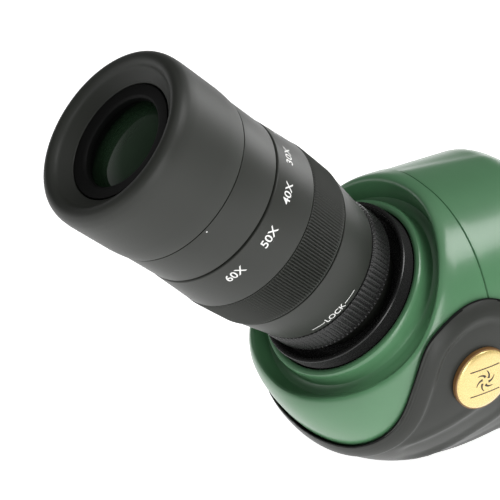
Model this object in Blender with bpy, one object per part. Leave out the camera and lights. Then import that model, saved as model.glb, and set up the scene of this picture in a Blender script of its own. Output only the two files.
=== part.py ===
"""Angled zoom spotting scope with an 84 mm objective, as separate solids in one frame.

+Y points forward to the objective, +X to the right, +Z up. The origin is the middle of the tripod
foot's bottom face. Sizes are in millimetres; every mesh is scaled to metres as it is made.
Two lines carry nearly every piece: the optical axis, along +Y, and the eyepiece axis, which leaves
the fold point inside the prism housing up and back at 45 degrees.
"""

import bmesh
import bpy
from math import acos, atan2, ceil, cos, pi, radians, sin
from mathutils import Matrix, Vector

MM = 0.001

# ---- driving dimensions, mm ----
GAP = 0.3                 # between pieces that touch
AXIS_HEIGHT = 85.0        # optical axis above the foot's face
FOLD_TO_FOOT = 125.0      # fold point behind the middle of the foot
EYE_ANGLE = 45.0          # eyepiece axis above the optical axis, degrees
WALL = 2.6                # housing wall

# prism housing: a superellipse section swept along Y, closed behind by a superellipsoid
HOUSING_HALF_WIDTH = 43.5
HOUSING_TOP = 51.2
HOUSING_BOTTOM = 42.5
HOUSING_REAR = 50.0
SECTION_POWER = 2.3
REAR_POWER = 2.2
REAR_POWER_BELOW = 1.9    # the rear closes more pointedly under the optical axis
SEAM_Y = 9.0              # seam between rear cover and main body, ahead of the fold point
SHOULDER_Y = 36.0         # where the top starts to fall to the focuser saddle
SADDLE_Y = 72.0           # where it has reached the saddle
SADDLE_END_Y = 101.0
SADDLE_TOP = 28.0
BELLY_Y = 22.0            # where the bottom starts to rise
NECK_Y = 80.0             # where the sides and the bottom have reached the neck's radius
NECK_RADIUS = 36.0
COLLAR_Y = 110.0          # rear face of the tripod collar
COLLAR_LENGTH = 30.0
NECK_SPIGOT = 14.0        # length of neck inside the objective barrel

# eyepiece port; heights are measured from the fold point along the eyepiece axis
PORT_BORE = 28.8
LIP_RADIUS = 31.5
LIP_HEIGHT = 31.0
GROOVE_OUTER = 35.0
GROOVE_HEIGHT = 24.5
CREST_RADIUS = 38.4
CREST_FILLET = 3.4
PORT_FLOOR = 21.0         # inner face of the port wall
THREAD_RADIUS = 28.4
THREAD_TOP = 35.7

# eyepiece
BARREL_RADIUS = 20.7
BARREL_BOTTOM = 17.0
EYEPIECE_BORE = 17.6
LOCK_BOTTOM = 38.2
COLLAR_BOTTOM = 47.7
LOCK_WALL = 4.4
COLLAR_STEP = 4.2         # the plain collar stands this far off the eyepiece's barrel
GRIP_BOTTOM = 65.3
COLLAR_FLARE = 2.5
SCALE_BOTTOM = 81.7
SCALE_STEP = 0.8          # the scale stands this far off the collar's front edge
HEAD_BOTTOM = 97.7
HEAD_STEP = 1.2           # the head ring is this much smaller than the scale
CUP_BOTTOM = 112.0
CUP_STEP = 0.6            # the eyecup stands this far off the head ring
CUP_TOP = 139.0
CUP_MOUTH = 22.0
BEZEL_RADIUS = 17.9
BEZEL_TOP = 134.2
EYE_LENS_RADIUS = 13.9
TUBE_WALL = 1.5

# objective
LENS_RADIUS = 43.0
CELL_WALL = 1.8
CELL_LENGTH = 30.0
BARREL_WALL = 2.2
FLARE_END_Y = 195.0
BARREL_FRONT_Y = 263.0
SHADE_CLEARANCE = 1.0     # radial room for the felt ring
SHADE_WALL = 2.6
SHADE_FRONT_Y = 281.0
BUMPER_THICK = 1.8
BUMPER_LENGTH = 10.0

BADGE_RADIUS = 10.5
BADGE_X = 45.9
BADGE_Y = 2.5
BADGE_Z = 5.0

# prism
PRISM_HALF_WIDTH = 16.0
PRISM_FACE_Y = 16.4
PRISM_FACE_HALF = 16.0
HOLDER_THICK = 3.0
HOLDER_TOP = 34.0
HOLDER_SCREW_Z = -8.0

# rubber armour
FACET_ALLOWANCE = 0.0104  # share of the half width by which flat facets cut inside the curve
ARMOUR_THICK = 1.15
ARMOUR_FRONT_Y = 100.0
ARMOUR_FACET = 4.4        # half width of housing to each pair of facets

# focuser
KNOB_HEIGHT = 42.2        # knob axis above the optical axis
COARSE_RADIUS = 13.0
COARSE_LENGTH = 17.0
FINE_RADIUS = 10.5
FINE_LENGTH = 9.0
KNOB_Y = 71.5
SHAFT_RADIUS = 3.0
SHAFT_BORE = 1.9
BUSH_RADIUS = 7.0
BUSH_REAR_Y = 40.0
FOCUS_TRAVEL = 7.0        # each way
NUT_Y = 22.5
NUT_LENGTH = 8.0
NUT_HALF = 4.9
CARRIAGE_Y = 70.0
CARRIAGE_LENGTH = 10.0
CARRIAGE_RADIUS = 21.0
FOCUS_LENS_RADIUS = 17.0
TUBE_LIGHT_WALL = 1.3

# tripod collar and foot
RING_WALL = 4.4
LINER_THICK = 1.0
STALK_WIDTH = 26.0
PLATE_LENGTH = 66.0
PLATE_WIDTH = 40.0
PLATE_THICK = 9.0
INSERT_Y = 17.0           # threaded inserts before and behind the middle of the plate
INSERT_DEPTH = 7.0
SCREW_X = 7.2
CLAMP_RADIUS = 11.0
CLAMP_LENGTH = 13.0
CLAMP_BOSS_RISE = 5.0     # the clamp boss's face above the ring
STUD_RADIUS = 3.0

HOUSING_SIDES = 36        # facets round the housing and what fits inside it

# sizes that follow from those above
BODY_FRONT_Y = COLLAR_Y + COLLAR_LENGTH + GAP + NECK_SPIGOT
TUBE_RADIUS = LENS_RADIUS + GAP + CELL_WALL + GAP + BARREL_WALL    # objective barrel's straight tube
SHADE_RADIUS = TUBE_RADIUS + SHADE_CLEARANCE + SHADE_WALL
GUIDE_RADIUS = EYEPIECE_BORE + TUBE_WALL
CAM_RADIUS = GUIDE_RADIUS + GAP + TUBE_WALL
HEAD_TUBE_RADIUS = CAM_RADIUS + 0.6
PLATE_TOP = PLATE_THICK + GAP
LOCK_RADIUS = BARREL_RADIUS + GAP + LOCK_WALL
BASE_REAR_RADIUS = BARREL_RADIUS + COLLAR_STEP
BASE_FRONT_RADIUS = BASE_REAR_RADIUS + COLLAR_FLARE
SCALE_RADIUS = BASE_FRONT_RADIUS + SCALE_STEP
HEAD_RADIUS = SCALE_RADIUS - HEAD_STEP
CUP_RADIUS = HEAD_RADIUS + CUP_STEP
ARMOUR_LIFT = GAP + HOUSING_HALF_WIDTH * FACET_ALLOWANCE
RING_RADIUS = NECK_RADIUS + GAP + LINER_THICK + GAP + RING_WALL
CLAMP_BOSS = RING_RADIUS + CLAMP_BOSS_RISE

FOLD = Vector((0.0, -FOLD_TO_FOOT, AXIS_HEIGHT))
OPTICAL = Matrix.Translation(FOLD * MM) @ Matrix.Rotation(radians(-90.0), 4, "X")
EYE_AXIS = Vector((0.0, -cos(radians(EYE_ANGLE)), sin(radians(EYE_ANGLE))))
EYE_UP = Vector((0.0, sin(radians(EYE_ANGLE)), cos(radians(EYE_ANGLE))))
EYEPIECE = Matrix.Translation(FOLD * MM) @ Matrix.Rotation(radians(90.0 - EYE_ANGLE), 4, "X")


# ---- materials and mesh helpers ----
def paint(name, colour, roughness, metallic=0.0):
    finish = bpy.data.materials.new(name)
    finish.use_nodes = True
    shader = finish.node_tree.nodes["Principled BSDF"]
    shader.inputs["Base Color"].default_value = (*colour, 1.0)
    shader.inputs["Roughness"].default_value = roughness
    shader.inputs["Metallic"].default_value = metallic
    finish.diffuse_color = (*colour, 1.0)
    return finish


def finish_object(name, mesh_data, place, material, crease=35.0):
    """Scale to metres, turn the faces outward, smooth round faces and place the object."""
    bmesh.ops.scale(mesh_data, vec=(MM, MM, MM), verts=mesh_data.verts)
    bmesh.ops.recalc_face_normals(mesh_data, faces=mesh_data.faces)
    mesh = bpy.data.meshes.new(name)
    mesh_data.to_mesh(mesh)
    mesh_data.free()
    mesh.shade_smooth()
    mesh.set_sharp_from_angle(angle=radians(crease))
    mesh.materials.append(material)
    piece = bpy.data.objects.new(name, mesh)
    piece.matrix_world = place
    bpy.context.scene.collection.objects.link(piece)
    return piece


def join_rows(mesh_data, rows, wrap_rows):
    """Quads between closed rings of vertices; a row of one vertex is a pole."""
    pairs = list(zip(rows, rows[1:]))
    if wrap_rows:
        pairs.append((rows[-1], rows[0]))
    for low, high in pairs:
        count = max(len(low), len(high))
        for i in range(count):
            j = (i + 1) % count
            corners = [low[i % len(low)], low[j % len(low)], high[j % len(high)], high[i % len(high)]]
            face = list(dict.fromkeys(corners))
            if len(face) > 2:
                mesh_data.faces.new(face)


def turned(name, profile, place, material, segments=32, crease=35.0):
    """A piece turned round its local Z. profile is (radius, height) round the section; radius 0
    at its first and last points makes a solid piece, otherwise the section closes as a ring."""
    mesh_data = bmesh.new()
    rows = []
    for radius, height in profile:
        if radius == 0.0:
            rows.append([mesh_data.verts.new((0.0, 0.0, height))])
            continue
        ring = []
        for i in range(segments):
            turn = 2.0 * pi * i / segments
            ring.append(mesh_data.verts.new((radius * cos(turn), radius * sin(turn), height)))
        rows.append(ring)
    join_rows(mesh_data, rows, wrap_rows=profile[0][0] > 0.0)
    return finish_object(name, mesh_data, place, material, crease)


def extruded(name, outline, depth, place, material, chamfer=0.0):
    """An outline in local XY, extruded along local Z by depth from z = 0."""
    mesh_data = bmesh.new()
    face = mesh_data.faces.new([mesh_data.verts.new((x, y, 0.0)) for x, y in outline])
    grown = bmesh.ops.extrude_face_region(mesh_data, geom=[face])
    moved = [item for item in grown["geom"] if isinstance(item, bmesh.types.BMVert)]
    bmesh.ops.translate(mesh_data, verts=moved, vec=(0.0, 0.0, depth))
    piece = finish_object(name, mesh_data, place, material)
    if chamfer:
        edge = piece.modifiers.new("edges", "BEVEL")
        edge.width = chamfer * MM
        edge.segments = 1
        edge.limit_method = "ANGLE"
        edge.angle_limit = radians(50.0)
    return piece


def cut(piece, cutter, operation="DIFFERENCE"):
    cutter.hide_render = True
    cutter.display_type = "WIRE"
    change = piece.modifiers.new(cutter.name, "BOOLEAN")
    change.operation = operation
    change.object = cutter
    change.solver = "EXACT"


def pin_profile(radius, low, high):
    return [(0.0, low), (radius, low), (radius, high), (0.0, high)]


def tube_profile(inner, outer, low, high, chamfer=0.0):
    if chamfer == 0.0:
        return [(inner, low), (outer, low), (outer, high), (inner, high)]
    return [(inner, low), (outer - chamfer, low), (outer, low + chamfer),
            (outer, high - chamfer), (outer - chamfer, high), (inner, high)]


def lens_profile(radius, low, high, front_bulge, rear_bulge, steps=2):
    """Edge faces at low and high; each bulge is how far its polished face stands out."""
    rear = [(radius * i / steps, low - rear_bulge * (1.0 - (i / steps) ** 2)) for i in range(steps + 1)]
    front = [(radius * i / steps, high + front_bulge * (1.0 - (i / steps) ** 2)) for i in range(steps + 1)]
    return rear + front[::-1]


def rounded_box(half_x, half_y, corner, steps=3):
    outline = []
    for quarter, (sx, sy) in enumerate(((1, 1), (-1, 1), (-1, -1), (1, -1))):
        for i in range(steps + 1):
            turn = pi / 2.0 * (quarter + i / steps)
            outline.append((sx * (half_x - corner) + corner * cos(turn),
                            sy * (half_y - corner) + corner * sin(turn)))
    return outline


def along_y(x, y, z):
    """A place whose local Z points along +Y, from a point given relative to the fold point."""
    spot = FOLD + Vector((x, y, z))
    return Matrix.Translation(spot * MM) @ Matrix.Rotation(radians(-90.0), 4, "X")


# ---- the housing's outer form, relative to the fold point ----
def ease(share):
    share = max(0.0, min(1.0, share))
    return share * share * (3.0 - 2.0 * share)


def section(y, inset=0.0):
    """Half width, top, bottom and power of the section at y."""
    shrink, shrink_below = 1.0, 1.0
    if y < 0.0:
        back = -y / (HOUSING_REAR - inset)
        shrink = max(0.0, 1.0 - back ** REAR_POWER) ** (1.0 / REAR_POWER)
        shrink_below = max(0.0, 1.0 - back ** REAR_POWER_BELOW) ** (1.0 / REAR_POWER_BELOW)
    neck = ease((y - SHOULDER_Y) / (NECK_Y - SHOULDER_Y))
    width = HOUSING_HALF_WIDTH + (NECK_RADIUS - HOUSING_HALF_WIDTH) * neck
    fall = ease((y - SHOULDER_Y) / (SADDLE_Y - SHOULDER_Y))
    top = HOUSING_TOP + (SADDLE_TOP - HOUSING_TOP) * fall
    rise = ease((y - SADDLE_END_Y) / (COLLAR_Y - 2.0 - SADDLE_END_Y))
    top += (NECK_RADIUS - SADDLE_TOP) * rise
    belly = ease((y - BELLY_Y) / (NECK_Y - BELLY_Y))
    bottom = HOUSING_BOTTOM + (NECK_RADIUS - HOUSING_BOTTOM) * belly
    power = SECTION_POWER + (2.0 - SECTION_POWER) * neck
    return (width - inset) * shrink, (top - inset) * shrink, (bottom - inset) * shrink_below, power


def section_radius(y, turn, inset=0.0):
    """Distance from the optical axis to the form; turn is 0 at +X and a quarter at +Z."""
    width, top, bottom, power = section(y, inset)
    height = top if sin(turn) > 0.0 else bottom
    return (abs(cos(turn) / width) ** power + abs(sin(turn) / height) ** power) ** (-1.0 / power)


def outside(point, inset=0.0):
    """Positive outside the form, negative inside it."""
    width, top, bottom, power = section(point.y, inset)
    if min(width, top, bottom) <= 0.01:
        return 1.0
    height = top if point.z > 0.0 else bottom
    return abs(point.x / width) ** power + abs(point.z / height) ** power - 1.0


def reach(start, direction, is_outside, far=120.0):
    """Distance from start, inside, to where the ray first leaves the form."""
    near = 0.0
    for _ in range(40):
        middle = (near + far) / 2.0
        if is_outside(start + direction * middle):
            far = middle
        else:
            near = middle
    return near


def port_point(radius, height, turn):
    """A point at a radius round the eyepiece axis; turn is 0 at +X and a quarter at EYE_UP."""
    return (Vector((1.0, 0.0, 0.0)) * (radius * cos(turn)) + EYE_UP * (radius * sin(turn))
            + EYE_AXIS * height)


# ---- prism housing ----
def rear_cover(material, segments=HOUSING_SIDES, body_rows=6, inner_rows=4):
    """The shell behind the seam. Its rings run round the eyepiece axis, from the port outward."""
    pivot = EYE_AXIS * -10.0
    seam = SEAM_Y - GAP / 2.0
    columns = []
    for i in range(segments):
        turn = 2.0 * pi * i / segments
        side = port_point(1.0, 0.0, turn)

        def swept(angle, leaves):
            direction = EYE_AXIS * cos(angle) + side * sin(angle)
            return pivot + direction * reach(pivot, direction, leaves)

        def swept_rows(first, leaves, rows):
            low, high = first, pi
            for _ in range(40):
                middle = (low + high) / 2.0
                if swept(middle, leaves).y > seam:
                    high = middle
                else:
                    low = middle
            return [swept(first + (low - first) * k / rows, leaves) for k in range(1, rows + 1)]

        def leaves_outer(point):
            return outside(point) > 0.0

        def leaves_inner(point):
            return outside(point, WALL) > 0.0 or point.dot(EYE_AXIS) > PORT_FLOOR

        column = [port_point(PORT_BORE, PORT_FLOOR, turn),
                  port_point(PORT_BORE, LIP_HEIGHT - 0.8, turn),
                  port_point(PORT_BORE + 0.8, LIP_HEIGHT, turn),
                  port_point(LIP_RADIUS - 0.9, LIP_HEIGHT, turn),
                  port_point(LIP_RADIUS, LIP_HEIGHT - 1.0, turn),
                  port_point(LIP_RADIUS + 0.3, GROOVE_HEIGHT + 0.8, turn),
                  port_point(LIP_RADIUS + 1.3, GROOVE_HEIGHT, turn),
                  port_point(GROOVE_OUTER, GROOVE_HEIGHT, turn)]
        wall_top = reach(port_point(CREST_RADIUS, 0.0, turn), EYE_AXIS, leaves_outer)
        rim_radius = CREST_RADIUS + CREST_FILLET
        rim_height = reach(port_point(rim_radius, 0.0, turn), EYE_AXIS, leaves_outer)
        wall = port_point(CREST_RADIUS - 0.8, wall_top - CREST_FILLET, turn)
        crest = port_point(CREST_RADIUS, wall_top, turn)
        rim = port_point(rim_radius, rim_height, turn)
        for k in range(3):
            share = k / 2.0
            column.append(wall * (1 - share) ** 2 + crest * 2 * share * (1 - share) + rim * share ** 2)
        from_pivot = rim - pivot
        first = acos(from_pivot.normalized().dot(EYE_AXIS))
        column += swept_rows(first, leaves_outer, body_rows)
        land = PORT_BORE + 4.0
        first = atan2(land, PORT_FLOOR - pivot.dot(EYE_AXIS))
        column += swept_rows(first, leaves_inner, inner_rows)[::-1]
        column.append(port_point(land, PORT_FLOOR, turn))
        columns.append(column)
    mesh_data = bmesh.new()
    rows = [[mesh_data.verts.new(columns[i][k]) for i in range(segments)] for k in range(len(columns[0]))]
    join_rows(mesh_data, rows, wrap_rows=True)
    return finish_object("rear_cover", mesh_data, Matrix.Translation(FOLD * MM), material)


def housing_stations():
    """Where the main body has a ring of points, from the seam to the front of the neck."""
    fall = (SADDLE_Y - SHOULDER_Y) / 5.0
    shoulder = [SHOULDER_Y + fall * k for k in range(6)]
    return [SEAM_Y + GAP / 2.0, BELLY_Y] + shoulder + [NECK_Y, SADDLE_END_Y, COLLAR_Y - 2.0, BODY_FRONT_Y]


def main_body(material, segments=HOUSING_SIDES):
    """The shell ahead of the seam: prism housing, focuser saddle and the neck in the collar."""
    def ring(y, inset):
        turns = [2.0 * pi * i / segments for i in range(segments)]
        return [(section_radius(y, t, inset) * cos(t), y,
                 section_radius(y, t, inset) * sin(t)) for t in turns]

    outer = housing_stations()
    inner = [y for y in reversed(outer) if not SADDLE_Y < y < SADDLE_END_Y]
    mesh_data = bmesh.new()
    rows = [[mesh_data.verts.new(p) for p in ring(y, 0.0)] for y in outer]
    rows += [[mesh_data.verts.new(p) for p in ring(y, WALL)] for y in inner]
    join_rows(mesh_data, rows, wrap_rows=True)
    body = finish_object("main_body", mesh_data, Matrix.Translation(FOLD * MM), material)
    hole = pin_profile(BUSH_RADIUS + GAP, BUSH_REAR_Y - GAP, KNOB_Y + COARSE_LENGTH)
    cut(body, turned("bush_hole", hole, along_y(0.0, 0.0, KNOB_HEIGHT), material, 20))
    return body


def armour_edge(y):
    """Height of the armour's upper edge, a smooth curve through a few points of its outline."""
    points = ((-49.0, -21.5), (-42.0, -21.3), (-37.0, -20.8), (-33.0, -18.4), (-27.0, -10.7), (-23.3, -2.7),
              (-20.2, 8.2), (-16.5, 18.4), (-11.9, 23.7), (-3.0, 28.4), (6.0, 29.3), (14.0, 26.8),
              (24.0, 21.0), (36.0, 13.0), (50.0, 5.0), (66.0, -3.0), (82.0, -7.0), (ARMOUR_FRONT_Y, -8.0))
    spot = 0
    while spot < len(points) - 2 and y > points[spot + 1][0]:
        spot += 1
    before, low = points[max(spot - 1, 0)], points[spot]
    high, after = points[spot + 1], points[min(spot + 2, len(points) - 1)]
    span = high[0] - low[0]
    share = (y - low[0]) / span
    low_slope = span * (high[1] - before[1]) / (high[0] - before[0])
    high_slope = span * (after[1] - low[1]) / (after[0] - low[0])
    return (low[1] * (2 * share ** 3 - 3 * share ** 2 + 1) + low_slope * (share ** 3 - 2 * share ** 2 + share)
            + high[1] * (3 * share ** 2 - 2 * share ** 3) + high_slope * (share ** 3 - share ** 2))


def form_point(y, turn, lift):
    """A point lifted off the housing's form along its normal."""
    radius = section_radius(y, turn)
    spot = Vector((radius * cos(turn), y, radius * sin(turn)))
    step = 0.05
    slope = Vector([outside(spot + axis * step) - outside(spot - axis * step)
                    for axis in (Vector((1, 0, 0)), Vector((0, 1, 0)), Vector((0, 0, 1)))])
    return spot + slope.normalized() * lift


def rubber_armour(material):
    """Moulded rubber skin under the housing, open at the top, from the rear bulb to the collar."""
    across = 2 * ceil(HOUSING_HALF_WIDTH / ARMOUR_FACET)
    stations = [-41.9, -41.0, -39.5, -37.0, -34.0, -31.0, -28.0, -25.0, -22.0, -18.5, -14.0, -7.0, 1.0]
    stations += [y for y in housing_stations() if y < ARMOUR_FRONT_Y] + [ARMOUR_FRONT_Y]
    mesh_data = bmesh.new()
    rings = []
    for y in stations:
        width, top, bottom, power = section(y)
        edge = armour_edge(y)
        height = top if edge > 0.0 else bottom
        side = width * max(0.0, 1.0 - abs(edge / height) ** power) ** (1.0 / power)
        reach_up = atan2(edge, side) + pi / 2.0
        turns = [-pi / 2.0 + reach_up * (2.0 * i / across - 1.0) for i in range(across + 1)]
        outer = [form_point(y, turn, ARMOUR_LIFT + ARMOUR_THICK) for turn in turns]
        inner = [form_point(y, turn, ARMOUR_LIFT) for turn in reversed(turns)]
        rings.append([mesh_data.verts.new(point) for point in outer + inner])
    join_rows(mesh_data, rings, wrap_rows=False)
    last = len(rings[0]) - 1
    for ring in (rings[0], rings[-1]):
        for i in range(across):
            mesh_data.faces.new((ring[i], ring[i + 1], ring[last - i - 1], ring[last - i]))
    return finish_object("rubber_armour", mesh_data, Matrix.Translation(FOLD * MM), material)


def badge(name, side, material):
    """Domed metal badge on the flat of the armour. It faces outward and a little up."""
    lean = radians(6.0) * side
    spot = FOLD + Vector((side * BADGE_X, BADGE_Y, BADGE_Z))
    place = Matrix.Translation(spot * MM) @ Matrix.Rotation(radians(90.0) * side - lean, 4, "Y")
    dome = [(0.0, 0.0), (BADGE_RADIUS, 0.0), (BADGE_RADIUS, 0.7), (BADGE_RADIUS - 0.9, 1.2),
            (BADGE_RADIUS * 0.5, 1.7), (0.0, 1.9)]
    return turned(name, dome, place, material, 24)


# ---- eyepiece, turned round the eyepiece axis ----
def port_and_eyepiece_base(black, dark, rubber):
    inner = BARREL_RADIUS + GAP
    flange = THREAD_RADIUS + 2.6
    turned("port_ring", [(inner, PORT_FLOOR - 4.5), (flange, PORT_FLOOR - 4.5), (flange, PORT_FLOOR - GAP),
                         (THREAD_RADIUS, PORT_FLOOR - GAP), (THREAD_RADIUS, THREAD_TOP - 0.6),
                         (THREAD_RADIUS - 0.6, THREAD_TOP), (THREAD_RADIUS - 1.8, THREAD_TOP - 0.4),
                         (THREAD_RADIUS - 2.8, THREAD_TOP - 4.0), (inner, THREAD_TOP - 5.0)],
           EYEPIECE, black, 28)
    seal_low, seal_high, seal_depth = 22.0, 24.2, 1.2
    turned("eyepiece_base", [(EYEPIECE_BORE, BARREL_BOTTOM), (BARREL_RADIUS - 0.6, BARREL_BOTTOM),
                             (BARREL_RADIUS, BARREL_BOTTOM + 0.6), (BARREL_RADIUS, seal_low),
                             (BARREL_RADIUS - seal_depth, seal_low), (BARREL_RADIUS - seal_depth, seal_high),
                             (BARREL_RADIUS, seal_high), (BARREL_RADIUS, COLLAR_BOTTOM),
                             (BASE_REAR_RADIUS, COLLAR_BOTTOM), (BASE_FRONT_RADIUS, GRIP_BOTTOM - GAP),
                             (GUIDE_RADIUS + GAP, GRIP_BOTTOM - GAP),
                             (GUIDE_RADIUS + GAP, COLLAR_BOTTOM + 2.3),
                             (EYEPIECE_BORE, COLLAR_BOTTOM + 2.3)], EYEPIECE, dark, 28)
    turned("eyepiece_seal", tube_profile(BARREL_RADIUS - seal_depth + GAP, BARREL_RADIUS - 0.02,
                                         seal_low + GAP, seal_high - GAP), EYEPIECE, rubber, 28)
    turned("lock_ring", tube_profile(BARREL_RADIUS + GAP, LOCK_RADIUS, LOCK_BOTTOM, COLLAR_BOTTOM - GAP,
                                     0.6),
           EYEPIECE, black, 28)


def zoom_parts(dark, black, rubber, metal, glass):
    inner = CAM_RADIUS + GAP
    under_grip = BASE_FRONT_RADIUS - 1.2
    turned("guide_tube", tube_profile(EYEPIECE_BORE, GUIDE_RADIUS, COLLAR_BOTTOM + 2.3 + GAP,
                                      CUP_BOTTOM - GAP),
           EYEPIECE, metal, 20)
    turned("cam_sleeve", tube_profile(GUIDE_RADIUS + GAP, CAM_RADIUS, GRIP_BOTTOM + GAP, HEAD_BOTTOM - 0.7),
           EYEPIECE, metal, 20)
    turned("zoom_ring", [(inner, GRIP_BOTTOM), (under_grip, GRIP_BOTTOM), (under_grip, SCALE_BOTTOM),
                         (SCALE_RADIUS, SCALE_BOTTOM), (HEAD_RADIUS + 0.2, HEAD_BOTTOM - 0.6),
                         (HEAD_RADIUS - 0.8, HEAD_BOTTOM - GAP), (inner, HEAD_BOTTOM - GAP)],
           EYEPIECE, dark, 28)
    turned("zoom_grip", [(under_grip + GAP, GRIP_BOTTOM + GAP), (BASE_FRONT_RADIUS, GRIP_BOTTOM + GAP),
                         (BASE_FRONT_RADIUS + 0.7, GRIP_BOTTOM + 1.3),
                         (SCALE_RADIUS + 0.3, SCALE_BOTTOM - 1.0),
                         (SCALE_RADIUS - 0.3, SCALE_BOTTOM - GAP), (under_grip + GAP, SCALE_BOTTOM - GAP)],
           EYEPIECE, rubber, 28)
    cell_outer = EYEPIECE_BORE - GAP
    lens = cell_outer - 2.8
    for name, low, high in (("field", 56.0, 65.0), ("variator", 87.0, 96.0)):
        turned(name + "_cell", tube_profile(lens + GAP, cell_outer, low, high), EYEPIECE, black, 24)
        turned(name + "_lens", lens_profile(lens, low + 3.0, high - 3.0, 1.6, 1.6), EYEPIECE, glass, 20)


def eyepiece_head(dark, black, rubber, metal, glass):
    tube = HEAD_TUBE_RADIUS
    shoulder = BEZEL_TOP - 3.2
    lens_bore = EYE_LENS_RADIUS + 2.4
    turned("eye_head", [(GUIDE_RADIUS + GAP, HEAD_BOTTOM), (tube, HEAD_BOTTOM), (tube, shoulder),
                        (BEZEL_RADIUS, shoulder), (BEZEL_RADIUS, BEZEL_TOP - 0.3),
                        (BEZEL_RADIUS - 0.3, BEZEL_TOP),
                        (EYE_LENS_RADIUS + 0.7, BEZEL_TOP - 0.3), (EYE_LENS_RADIUS, BEZEL_TOP - 0.8),
                        (EYE_LENS_RADIUS, shoulder + 0.5), (lens_bore, shoulder + 0.5),
                        (lens_bore, CUP_BOTTOM),
                        (GUIDE_RADIUS + GAP, CUP_BOTTOM)], EYEPIECE, black, 28)
    turned("eye_lens", lens_profile(lens_bore - GAP, shoulder - 6.0, shoulder - 2.3, 2.4, 2.4, 3),
           EYEPIECE, glass, 24)
    turned("head_ring", tube_profile(tube + GAP, HEAD_RADIUS, HEAD_BOTTOM + GAP, CUP_BOTTOM - GAP, 0.3),
           EYEPIECE, dark, 28)
    detent = tube + GAP + 0.9
    turned("eyecup_detent_ring", tube_profile(tube + GAP, detent, CUP_BOTTOM + GAP, CUP_BOTTOM + 3.5),
           EYEPIECE, metal, 20)
    sleeve = detent + GAP + TUBE_WALL
    turned("eyecup_sleeve", tube_profile(detent + GAP, sleeve, CUP_BOTTOM + GAP, shoulder - GAP),
           EYEPIECE, black, 24)
    turned("eyecup", [(sleeve + GAP, CUP_BOTTOM + GAP), (CUP_RADIUS - 1.4, CUP_BOTTOM + GAP),
                      (CUP_RADIUS - 0.3, CUP_BOTTOM + 1.2), (CUP_RADIUS, CUP_BOTTOM + 3.5),
                      (CUP_RADIUS, CUP_TOP - 5.0), (CUP_RADIUS - 0.5, CUP_TOP - 2.2),
                      (CUP_RADIUS - 1.7, CUP_TOP - 0.5), (CUP_RADIUS - 3.3, CUP_TOP),
                      (CUP_MOUTH + 0.8, CUP_TOP - 0.4), (CUP_MOUTH, CUP_TOP - 1.4),
                      (BEZEL_RADIUS + 0.4, BEZEL_TOP + 0.2), (BEZEL_RADIUS + 0.4, BEZEL_TOP - 1.9),
                      (sleeve + GAP, shoulder)], EYEPIECE, rubber, 28)


# ---- prism and its holder ----
YZ_PLANE = Matrix(((0, 0, 1, 0), (1, 0, 0, 0), (0, 1, 0, 0), (0, 0, 0, 1)))
XZ_PLANE = Matrix(((1, 0, 0, 0), (0, 0, -1, 0), (0, 1, 0, 0), (0, 0, 0, 1)))


def from_fold(x, y, z, plane):
    return Matrix.Translation((FOLD + Vector((x, y, z))) * MM) @ plane


def prism_group(body, glass, black, steel):
    exit_height, exit_low, exit_high = 12.0, -15.0, 13.0
    top = EYE_UP * exit_high + EYE_AXIS * exit_height
    rear = EYE_UP * exit_low + EYE_AXIS * exit_height
    outline = [(PRISM_FACE_Y, -PRISM_FACE_HALF), (PRISM_FACE_Y, PRISM_FACE_HALF), (top.y, top.z),
               (rear.y, rear.z), (-17.0, -15.0), (0.0, -25.0)]
    extruded("prism", outline, 2.0 * PRISM_HALF_WIDTH, from_fold(-PRISM_HALF_WIDTH, 0.0, 0.0, YZ_PLANE),
             glass,
             chamfer=0.6)
    plate_y = PRISM_FACE_Y + GAP
    outline = []
    for i in range(HOUSING_SIDES):
        turn = 2.0 * pi * i / HOUSING_SIDES
        radius = section_radius(plate_y, turn, WALL + GAP)
        outline.append((radius * cos(turn), min(radius * sin(turn), HOLDER_TOP)))
    holder = extruded("prism_holder", outline, HOLDER_THICK,
                      from_fold(0.0, plate_y + HOLDER_THICK, 0.0, XZ_PLANE), black)
    cut(holder, turned("prism_window", pin_profile(PRISM_FACE_HALF - 1.5, 0.0, 40.0), along_y(0.0, 0.0, 0.0),
                       black, 32))
    strap, reach_x = 1.2, PRISM_HALF_WIDTH + GAP
    over, under = PRISM_FACE_HALF + 1.9, -8.0
    outline = [(-reach_x - strap, under), (-reach_x, under), (-reach_x, over), (reach_x, over),
               (reach_x, under), (reach_x + strap, under), (reach_x + strap, over + strap),
               (-reach_x - strap, over + strap)]
    extruded("prism_clip", outline, 6.0, from_fold(0.0, 10.0, 0.0, XZ_PLANE), steel)
    middle_y = plate_y + HOLDER_THICK / 2.0
    across = Matrix.Translation((FOLD + Vector((0.0, middle_y, HOLDER_SCREW_Z))) * MM)
    across = across @ Matrix.Rotation(radians(90.0), 4, "Y")
    half = section_radius(middle_y, 0.0)
    head, shank, seat = 2.4, 1.1, half - 2.2
    hole = [(0.0, -half - 4.0), (head + GAP, -half - 4.0), (head + GAP, -seat + GAP),
            (shank + GAP, -seat + GAP),
            (shank + GAP, seat - GAP), (head + GAP, seat - GAP), (head + GAP, half + 4.0), (0.0, half + 4.0)]
    drill = turned("prism_screw_drill", hole, across, steel, 12)
    cut(body, drill)
    cut(holder, drill)
    screw = [(0.0, 28.0), (shank, 28.0), (shank, seat), (head, seat), (head, seat + 1.4), (0.0, seat + 1.4)]
    turned("prism_screw_right", screw, across, steel, 12)
    turned("prism_screw_left", screw, across @ Matrix.Rotation(pi, 4, "X"), steel, 12)


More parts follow.
